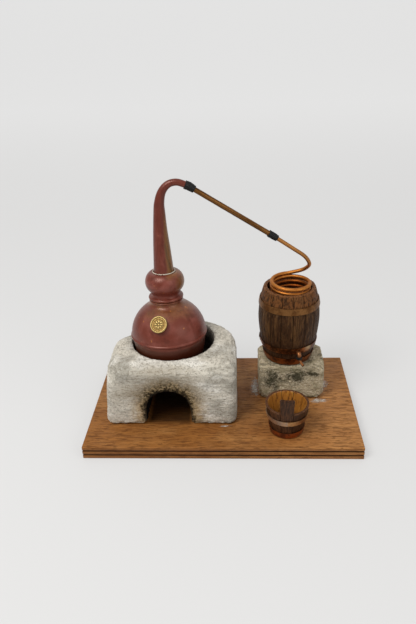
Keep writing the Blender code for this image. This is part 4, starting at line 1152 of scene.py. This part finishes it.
def crinkled_wrap(name, stations, body, node):
    """Tape wound over a joint: each turn laps the last, with wrinkles along it."""
    pitch, thick = 0.0030, 0.00022

    def swell(distance, turn):
        lap = (distance / pitch + turn) % 1.0
        wrinkle = wobble(Vector((distance * 1.6, turn * 0.012, 0)), 0.0011, 3.0)
        return thick * (1 - lap) ** 0.35 + 0.00016 * wrinkle

    cover = [(*point, radius + 0.0007) for point, radius in stations]
    bm = tube(smooth_path(cover, 26), 0.0004, 64, swell)
    part(name, bm, (tape_finish(),), body, [node], 50)


class OBJECT_OT_still_tubes(bpy.types.Operator):
    """Swan neck, lyne arm and worm, with the tape over their joints"""
    bl_idname = "object.still_tubes"
    bl_label = "Tubes"

    def execute(self, context):
        copper = context.scene.still_copper
        neck = neck_path(9)
        part("copper_neck", tube(neck, 0.0007, 72), (oxide_finish(copper),), "head",
             ["swan_neck"])

        start, end = arm_ends()
        arm = [(*start.lerp(end, step / 40), ARM_RADIUS) for step in range(41)]
        finish = drawn_tube_finish("aged copper", (0.195, 0.088, 0.027), (0.045, 0.017, 0.004),
                                   0.95, 0.34)
        part("copper_arm", tube(arm, TUBE_WALL, 40, arm_dents), (finish,), "head", ["lyne_arm"])
        worm = worm_path()
        finish = drawn_tube_finish("bright copper", copper.worm, (0.230, 0.052, 0.008), 0.60, 0.42,
                                   (0.380, 0.180, 0.058))
        part("bright_worm", tube(worm, TUBE_WALL, 22), (finish,), "head", ["worm_coil"])

        along = (end - start).normalized()
        neck = neck_path()
        before = [(Vector(station[:3]), station[3]) for station in neck[-2:]]
        after = [(start + along * 0.0022, 0.0027), (start + along * 0.0052, ARM_RADIUS)]
        crinkled_wrap("upper_tape", before + after, "head", "joint_wrap_upper")
        first, second = Vector(worm[0][:3]), Vector(worm[3][:3])
        onward = (second - first).normalized()
        before = [(end - along * 0.0048, ARM_RADIUS), (end, ARM_RADIUS)]
        after = [(first + onward * 0.0012, 0.0022), (first + onward * 0.0040, 0.0019)]
        crinkled_wrap("lower_tape", before + after, "head", "joint_wrap_lower")
        return {"FINISHED"}


# ---------------------------------------------------------------- barrel

def barrel_radius(height):
    """Outer radius of the staves at a height above the board."""
    if height < BARREL_BELLY:
        share = (BARREL_BELLY - height) / (BARREL_BELLY - BARREL_BASE)
        return BELLY_RADIUS - (BELLY_RADIUS - BASE_RADIUS) * share ** 1.75
    share = (height - BARREL_BELLY) / (BARREL_RIM - BARREL_BELLY)
    return BELLY_RADIUS - (BELLY_RADIUS - RIM_RADIUS) * share ** 1.9


def stave_outline(rows):
    """Closed section of one stave, with its croze groove and a chamfered rim."""
    heights = [BARREL_BASE + (BARREL_RIM - BARREL_BASE) * row / rows for row in range(rows + 1)]
    outer = [(barrel_radius(h), h) for h in heights]
    low, high, depth = CROZE
    inner = [(barrel_radius(h) - STAVE_THICK, h) for h in heights[::-1] if h > high + 0.002]
    for height, cut in ((high, 0.0), (high, depth), (low, depth), (low, 0.0)):
        inner.append((barrel_radius(height) - STAVE_THICK + cut, height))
    inner.append((barrel_radius(BARREL_BASE) - STAVE_THICK, BARREL_BASE))
    return outer + inner


def bored(bm, start, end, radius):
    """The bmesh with a round hole through it."""
    bore = bmesh.new()
    axis = end - start
    place = facing((start + end) / 2, axis)
    bmesh.ops.create_cone(bore, cap_ends=True, segments=32, radius1=radius, radius2=radius,
                          depth=axis.length, matrix=place)
    cutter = in_scene("bore", bore)
    bm = modified(bm, "BOOLEAN", operation="DIFFERENCE", solver="EXACT", object=cutter)
    gone(cutter)
    return bm


def outlet_bore(bm):
    level = Vector((0, 0, OUTLET_HEIGHT))
    return bored(bm, BARREL + polar(OUTLET_ANGLE, 0.020) + level,
                 BARREL + polar(OUTLET_ANGLE, 0.036) + level, 0.0023)


class OBJECT_OT_still_barrel(bpy.types.Operator):
    """Sixteen staves round a bottom"""
    bl_idname = "object.still_barrel"
    bl_label = "Barrel"

    def execute(self, context):
        finish = stave_finish(context.scene.still_wood)
        outline, pitch, seam = stave_outline(26), math.tau / STAVES, FIT / RIM_RADIUS
        for index in range(STAVES):
            middle = OUTLET_ANGLE + pitch * index
            shade = 0.5 + 0.5 * math.sin(index * 2.4 + 1.1)
            bm = sector(outline, middle - (pitch - seam) / 2, middle + (pitch - seam) / 2, 6)
            bevelled(bm, sharp_edges(bm), 0.00028, 2)
            for vert in bm.verts:
                grain = wobble(vert.co * Vector((1, 1, 0.12)), 0.0016, 11.0 + index)
                vert.co += outward(vert.co) * 0.00010 * (grain - 1 + 0.8 * math.sin(index * 3.1))
                if vert.co.z > BARREL_RIM - 0.002:
                    vert.co.z -= 0.00035 * (1 + wobble(vert.co, 0.004, 1.3 * index))
            bmesh.ops.translate(bm, vec=BARREL, verts=bm.verts)
            if index == 0:
                bm = outlet_bore(bm)
            stored(bm, "shade", lambda vert: shade)
            part(f"stave_{index + 1:02d}", bm, (finish,), "base", [f"barrel_stave_{index + 1:02d}"])

        low, high, depth = CROZE
        radius = barrel_radius(low) - STAVE_THICK + depth - FIT
        profile = [(0, low + FIT), (radius - 0.001, low + FIT), (radius, low + 0.001),
                   (radius, high - 0.001), (radius - 0.001, high - FIT)]
        profile += [(radius * step / 12, high - FIT) for step in range(11, -1, -1)]
        bm = turned(profile, 96)
        bmesh.ops.translate(bm, vec=BARREL, verts=bm.verts)
        stored(bm, "shade", lambda vert: 0.4)
        part("bottom_board", bm, (finish,), "base", ["barrel_bottom"])
        return {"FINISHED"}


class OBJECT_OT_still_hoops(bpy.types.Operator):
    """Copper hoops, each lapped and riveted, with dents and a painted reflection on the lower hoop"""
    bl_idname = "object.still_hoops"
    bl_label = "Hoops"

    def execute(self, context):
        pitch = math.tau / STAVES
        for name, low, high, stave, bright, dark in (
                ("upper", 0.0945, 0.1005, 8, (0.215, 0.100, 0.034), (0.118, 0.048, 0.015)),
                ("lower", 0.0525, 0.0586, 11, (0.260, 0.085, 0.024), (0.060, 0.020, 0.006)),
                ("base", 0.0388, 0.0460, 9, (0.290, 0.085, 0.019), (0.075, 0.020, 0.005))):
            finish = hoop_finish(f"{name} hoop copper", bright, dark, BARREL, (0.430, 0.300, 0.170))
            levels = [low + (high - low) * row / 6 for row in range(7)]
            rows = [(barrel_radius(h) + FIT, h) for h in levels]
            skin = [(radius + HOOP_THICK, height) for radius, height in rows[::-1]]
            skin[0] = (skin[0][0] - 0.00015, skin[0][1])
            skin[-1] = (skin[-1][0] - 0.00015, skin[-1][1])
            bm = turned(rows + skin, 160, True)
            turn = OUTLET_ANGLE + pitch * stave
            lap = sector([(radius + HOOP_THICK, height) for radius, height in rows + skin],
                         turn - 0.115, turn + 0.115, 8)
            joined(bm, lap)
            dented(bm, 0.00010, 0.0045, 2.0, BARREL)
            if name == "lower":
                bm = outlet_bore(bm)
            # The pale patch right of the outlet on the lower hoop is a painted reflection.
            patch = math.radians(-52)
            stored(bm, "worn", lambda vert: painted_sheen_patch(vert.co, patch) if name == "lower" else 0.0)
            part(f"{name}_hoop", bm, (finish,), "base", [f"barrel_hoop_{name}"])

            height = (low + high) / 2
            surface = barrel_radius(height) + FIT + 2 * HOOP_THICK
            seat = facing(BARREL + polar(turn, surface) + Vector((0, 0, height)), polar(turn), "X")
            head = arc((0, -0.0004), 0.0013, 90, 22, 7)
            rivet = turned(head + [(0.0012, 0.0), (0.0004, 0.0), (0.0004, -0.0024), (0, -0.0024)], 28)
            stored(rivet, "worn", lambda vert: 0.2)
            part(f"{name}_rivet", moved(rivet, seat), (finish,), "base", [f"hoop_rivet_{name}"])
        return {"FINISHED"}


def painted_sheen_patch(point, angle):
    """1 in the middle of a painted reflection on the hoop, 0 a few millimetres away."""
    place = point - BARREL
    around = abs(math.remainder(math.atan2(place.y, place.x) - angle, math.tau)) * BELLY_RADIUS
    return max(0.0, 1 - (around / 0.0050) ** 2) * max(0.0, min(1.0, (place.z - 0.0540) / 0.0012))


def joined(bm, other):
    """Add another bmesh's geometry to a bmesh."""
    added = in_scene("work", other)
    bm.from_mesh(added.data)
    gone(added)
    return bm


class OBJECT_OT_still_outlet(bpy.types.Operator):
    """Elbow through the stave, a band of tape and a thin spout"""
    bl_idname = "object.still_outlet"
    bl_label = "Outlet"

    def execute(self, context):
        up = Vector((0, 0, 1))
        rim = TAIL_END - 0.0004
        near, far, bore = TAIL_REACH, OUTLET_REACH, 0.0020
        stations = [(*outlet_point(near, rim), 0.0030), (*outlet_point(near, rim - 0.0022), 0.0030)]
        for reach, above, radius in (
                (near + 0.0002, 0.0018, 0.0022), (near + 0.0014, 0.0003, bore),
                (near + 0.0040, 0.0, bore), (far - 0.0028, 0.0, bore),
                (far - 0.0008, -0.0008, bore), (far, -0.0024, bore), (far, -0.0040, bore)):
            stations.append((*outlet_point(reach, OUTLET_HEIGHT + above), radius))
        finish = drawn_tube_finish("outlet copper", (0.300, 0.120, 0.045), (0.070, 0.024, 0.009),
                                   0.8, 0.34)
        part("copper_elbow", tube(smooth_path(stations, 5), TUBE_WALL, 32), (finish,), "base",
             ["outlet_elbow"])

        outer = outlet_point(OUTLET_REACH, OUTLET_HEIGHT)
        drop = outer - up * 0.0044
        knee = drop - up * 0.0012
        middle = knee.lerp(SPOUT_TIP, 0.5) - up * 0.0003
        spout = [(*point, 0.0013) for point in (drop, knee, middle, SPOUT_TIP)]
        part("copper_spout", tube(smooth_path(spout, 8), 0.0004, 28), (finish,), "base",
             ["outlet_spout"])
        band = [(outer - up * 0.0026, 0.0020), (outer - up * 0.0042, 0.0020),
                (drop - up * 0.0010, 0.0016)]
        crinkled_wrap("outlet_tape", band, "base", "outlet_band")
        return {"FINISHED"}


# ---------------------------------------------------------------- bucket

def bucket_radius(height):
    return BUCKET_BASE_RADIUS + (BUCKET_RIM_RADIUS - BUCKET_BASE_RADIUS) * height / BUCKET_HEIGHT


class OBJECT_OT_still_bucket(bpy.types.Operator):
    """Bucket: nine staves, a long one for its handle, a bottom and two hoops"""
    bl_idname = "object.still_bucket"
    bl_label = "Bucket"

    def execute(self, context):
        wood = context.scene.still_wood
        finishes = (bucket_wood_finish(wood), varnish_finish(wood))
        pitch, seam = math.tau / BUCKET_STAVES, FIT / BUCKET_BASE_RADIUS
        low, high = 0.0027, 0.0058
        for index in range(BUCKET_STAVES):
            top = HANDLE_HEIGHT if index == 0 else BUCKET_HEIGHT
            rows = 22 if index == 0 else 14
            levels = [top * row / rows for row in range(rows + 1)]
            outline = [(bucket_radius(h), h) for h in levels]
            outline += [(bucket_radius(h) - BUCKET_THICK, h) for h in levels[::-1] if h > high + 0.001]
            for height, cut in ((high, 0.0), (high, 0.0008), (low, 0.0008), (low, 0.0), (0.0, 0.0)):
                outline.append((bucket_radius(height) - BUCKET_THICK + cut, height))
            middle = HANDLE_ANGLE + pitch * index
            bm = sector(outline, middle - (pitch - seam) / 2, middle + (pitch - seam) / 2, 8)
            if index == 0:
                corners = [edge for edge in bm.edges if handle_corner(edge, middle, pitch)]
                bevelled(bm, corners, 0.0022, 6)
            bevelled(bm, sharp_edges(bm), 0.00022, 2)
            shape_stave(bm, index, top)
            bmesh.ops.translate(bm, vec=BUCKET, verts=bm.verts)
            mark_stave(bm, index, middle, top)
            name = "bucket_handle_stave" if index == 0 else f"bucket_stave_{index:02d}"
            part(name.replace("bucket", "pail"), bm, finishes, "bucket", [name])

        radius = bucket_radius(0.0030) - BUCKET_THICK + 0.0005
        profile = [(0, 0.0030), (radius, 0.0030), (radius, 0.0055)]
        profile += [(radius * step / 10, 0.0055) for step in range(9, -1, -1)]
        bm = turned(profile, 80)
        bmesh.ops.translate(bm, vec=BUCKET, verts=bm.verts)
        stored(bm, "shade", lambda vert: 0.5)
        for face in bm.faces:
            face.material_index = 1 if face.calc_center_median().z > BUCKET.z + 0.0054 else 0
        part("pail_bottom", bm, finishes, "bucket", ["bucket_bottom"])

        for name, low, high, bright, dark in (
                ("upper", 0.0165, 0.0215, (0.420, 0.215, 0.080), (0.170, 0.074, 0.026)),
                ("lower", 0.0010, 0.0068, (0.360, 0.098, 0.018), (0.120, 0.026, 0.004))):
            finish = hoop_finish(f"{name} bucket hoop", bright, dark, BUCKET, (0.560, 0.480, 0.400))
            rows = [(bucket_radius(low + (high - low) * row / 4) + FIT, low + (high - low) * row / 4)
                    for row in range(5)]
            skin = [(radius + HOOP_THICK, height) for radius, height in rows[::-1]]
            bm = turned(rows + skin, 120, True)
            dented(bm, 0.00009, 0.0035, 6.0, BUCKET)
            stored(bm, "worn", lambda vert: 0.35 if name == "upper" and vert.co.x < BUCKET.x else 0.05)
            part(f"pail_hoop_{name}", bm, (finish,), "bucket", [f"bucket_hoop_{name}"])
        return {"FINISHED"}


def handle_corner(edge, middle, pitch):
    """Whether an edge runs through the stave's thickness at a top corner of the handle."""
    ends = [vert.co for vert in edge.verts]
    high = all(co.z > HANDLE_HEIGHT - 1e-4 for co in ends)
    sides = [abs(math.remainder(math.atan2(co.y, co.x) - middle, math.tau)) for co in ends]
    return high and all(side > pitch * 0.42 for side in sides)


def shape_stave(bm, index, top):
    """Uneven grain down the outside and a slightly worn rim."""
    for vert in bm.verts:
        grain = wobble(vert.co * Vector((1, 1, 0.15)), 0.0014, 21.0 + index)
        vert.co += outward(vert.co) * 0.00008 * (grain - 1)
        if index and vert.co.z > top - 0.0015:
            vert.co.z -= 0.00030 * (1 + wobble(vert.co, 0.0030, 2.1 * index))


def mark_stave(bm, index, middle, top):
    """Give the inside its varnish and store the stave's shade and its worn end."""
    for face in bm.faces:
        place = face.calc_center_median() - BUCKET
        inward = -face.normal.dot(polar(middle))
        if inward > 0.6 and place.z > 0.006 and place.z < BUCKET_HEIGHT + 0.001:
            face.material_index = 1
    stored(bm, "shade", lambda vert: 0.5 + 0.5 * math.sin(index * 2.9 + 0.6))
    stored(bm, "rim", lambda vert: 1.0 if vert.co.z - BUCKET.z > top - 0.0010 and index else 0.0)


# ---------------------------------------------------------------- glue

class OBJECT_OT_still_glue(bpy.types.Operator):
    """Pale smears of dried glue round the stones"""
    bl_idname = "object.still_glue"
    bl_label = "Glue"

    def execute(self, context):
        finish = glue_finish()
        left, front = FURNACE_LOW.x, FURNACE_LOW.y
        for name, x, y, long, wide, angle in (
                ("glue_left", left - 0.0008, front + 0.030, 0.0140, 0.0022, 86),
                ("glue_front", FURNACE_HIGH.x - 0.012, front - 0.0006, 0.0070, 0.0014, 2),
                ("glue_corner", STONE_HIGH.x - 0.0060, STONE_LOW.y - 0.0015, 0.0120, 0.0048, 4),
                ("glue_right", STONE_HIGH.x + 0.0022, STONE_LOW.y + 0.026, 0.0120, 0.0050, 78),
                ("glue_side", STONE_LOW.x - 0.0022, STONE_LOW.y + 0.022, 0.0200, 0.0060, 88)):
            bm = bmesh.new()
            bmesh.ops.create_circle(bm, cap_ends=True, segments=64, radius=1.0)
            for _ in range(9):
                bmesh.ops.inset_region(bm, faces=[face for face in bm.faces if len(face.verts) > 4],
                                       thickness=0.1, use_boundary=True)
            film = bm.verts.layers.float.new("film")
            for vert in bm.verts:
                vert[film] = 1.0 - min(1.0, vert.co.length)
            skin = bmesh.ops.extrude_face_region(bm, geom=bm.faces[:])["geom"]
            raised = {item for item in skin if isinstance(item, bmesh.types.BMVert)}
            for vert in bm.verts:
                thick = 0.00006 + 0.00030 * vert[film]
                vert.co.z = thick if vert in raised else 0.0
                edge = 1 + 0.22 * wobble(vert.co, 0.45, long * 900)
                vert.co = Vector((vert.co.x * edge * long, vert.co.y * edge * wide, vert.co.z))
            turn = Matrix.Rotation(math.radians(angle), 4, "Z")
            place = Matrix.Translation((x, y, TOP + 0.00002)) @ turn
            part(name, moved(bm, place), (finish,), "base", [], 80)
        return {"FINISHED"}


# ---------------------------------------------------------------- stage

class OBJECT_OT_still_stage(bpy.types.Operator):
    """Pale floor and backdrop, soft light, and the camera"""
    bl_idname = "object.still_stage"
    bl_label = "Stage"

    def execute(self, context):
        scene, stage = context.scene, context.scene.still_stage
        bm = bmesh.new()
        bmesh.ops.create_grid(bm, x_segments=1, y_segments=1, size=3.0)
        bmesh.ops.translate(bm, vec=(0, 0, -0.0002), verts=bm.verts)
        far = [edge for edge in bm.edges if all(vert.co.y > 2.9 for vert in edge.verts)]
        grown = bmesh.ops.extrude_edge_only(bm, edges=far)["geom"]
        wall = [item for item in grown if isinstance(item, bmesh.types.BMVert)]
        bmesh.ops.translate(bm, vec=(0, 0, 3.0), verts=wall)
        bevelled(bm, far, 1.2, 16)
        floor = in_scene("floor", bm)
        floor.data.shade_smooth()
        floor.data.materials.append(backdrop_finish("pale floor", tuple(stage.floor)))

        world = bpy.data.worlds.new("soft sky")
        world.use_nodes = True
        sky = world.node_tree.nodes["Background"]
        sky.inputs["Strength"].default_value = stage.sky
        nodes, links = world.node_tree.nodes, world.node_tree.links
        place, split = nodes.new("ShaderNodeTexCoord"), nodes.new("ShaderNodeSeparateXYZ")
        rise = nodes.new("ShaderNodeValToRGB")
        for element, (position, shade) in zip(rise.color_ramp.elements, (
                (0.05, (0.46, 0.455, 0.45)), (0.75, (1.22, 1.20, 1.165)))):
            element.position = position
            element.color = (*shade, 1.0)
        links.new(place.outputs["Generated"], split.inputs[0])
        links.new(split.outputs[2], rise.inputs[0])
        links.new(rise.outputs[0], sky.inputs["Color"])
        scene.world = world
        for name, place, size, power, shade in (
                ("key", (-0.55, -0.55, 1.05), 0.60, stage.key, (1.0, 0.985, 0.955)),
                ("fill", (0.75, -0.70, 0.55), 0.70, stage.key * 0.22, (1.0, 0.99, 0.98))):
            light = bpy.data.lights.new(name, "AREA")
            light.shape, light.size, light.energy, light.color = "DISK", size, power, shade
            lamp = bpy.data.objects.new(name, light)
            lamp.location = place
            ray = Vector((0, 0, 0.07)) - Vector(place)
            lamp.rotation_euler = ray.to_track_quat("-Z", "Y").to_euler()
            scene.collection.objects.link(lamp)

        pitch, yaw, roll = (math.radians(value) for value in CAMERA_TURNS)
        right = Vector((math.cos(yaw), math.sin(yaw), 0))
        ahead = Vector((-math.sin(yaw), math.cos(yaw), 0))
        forward = ahead * math.cos(pitch) - Vector((0, 0, math.sin(pitch)))
        up = ahead * math.sin(pitch) + Vector((0, 0, math.cos(pitch)))
        across = right * math.cos(roll) + up * math.sin(roll)
        above = up * math.cos(roll) - right * math.sin(roll)
        view = bpy.data.cameras.new("camera")
        view.sensor_fit, view.sensor_height, view.lens = "VERTICAL", 36.0, stage.lens
        view.clip_start = 0.01
        camera = bpy.data.objects.new("camera", view)
        turn = Matrix((across, above, -forward)).transposed().to_4x4()
        camera.matrix_world = Matrix.Translation(CAMERA_PLACE) @ turn
        scene.collection.objects.link(camera)
        scene.camera = camera
        scene.view_settings.view_transform = "Standard"
        return {"FINISHED"}


# ---------------------------------------------------------------- panel and registration

STEPS = ("stage", "board", "furnace", "barrel_stone", "pot", "disc", "head", "tubes", "barrel",
         "hoops", "outlet", "bucket", "glue")


class VIEW3D_PT_still(bpy.types.Panel):
    """Settings of the still and a button for each of its pieces"""
    bl_label = "Alembic Still"
    bl_idname = "VIEW3D_PT_still"
    bl_space_type = "VIEW_3D"
    bl_region_type = "UI"
    bl_category = "Still"

    def draw(self, context):
        layout, scene = self.layout, context.scene
        for settings in (scene.still_board, scene.still_stone, scene.still_copper, scene.still_wood,
                         scene.still_stage):
            box = layout.box()
            for name in settings.bl_rna.properties.keys():
                if name not in ("rna_type", "name"):
                    box.prop(settings, name)
        for step in STEPS:
            layout.operator(f"object.still_{step}")


SETTINGS = {"still_board": StillBoardSettings, "still_stone": StillStoneSettings,
            "still_copper": StillCopperSettings, "still_wood": StillWoodSettings,
            "still_stage": StillStageSettings}
CLASSES = (*SETTINGS.values(), OBJECT_OT_still_stage, OBJECT_OT_still_board, OBJECT_OT_still_furnace,
           OBJECT_OT_still_barrel_stone, OBJECT_OT_still_pot, OBJECT_OT_still_disc,
           OBJECT_OT_still_head, OBJECT_OT_still_tubes, OBJECT_OT_still_barrel, OBJECT_OT_still_hoops,
           OBJECT_OT_still_outlet, OBJECT_OT_still_bucket, OBJECT_OT_still_glue, VIEW3D_PT_still)


def register():
    for made in CLASSES:
        bpy.utils.register_class(made)
    for name, kind in SETTINGS.items():
        setattr(bpy.types.Scene, name, PointerProperty(type=kind))


def unregister():
    for name in SETTINGS:
        delattr(bpy.types.Scene, name)
    for made in reversed(CLASSES):
        bpy.utils.unregister_class(made)


def main():
    register()
    for step in STEPS:
        getattr(bpy.ops.object, f"still_{step}")()


if __name__ == "__main__":
    main()
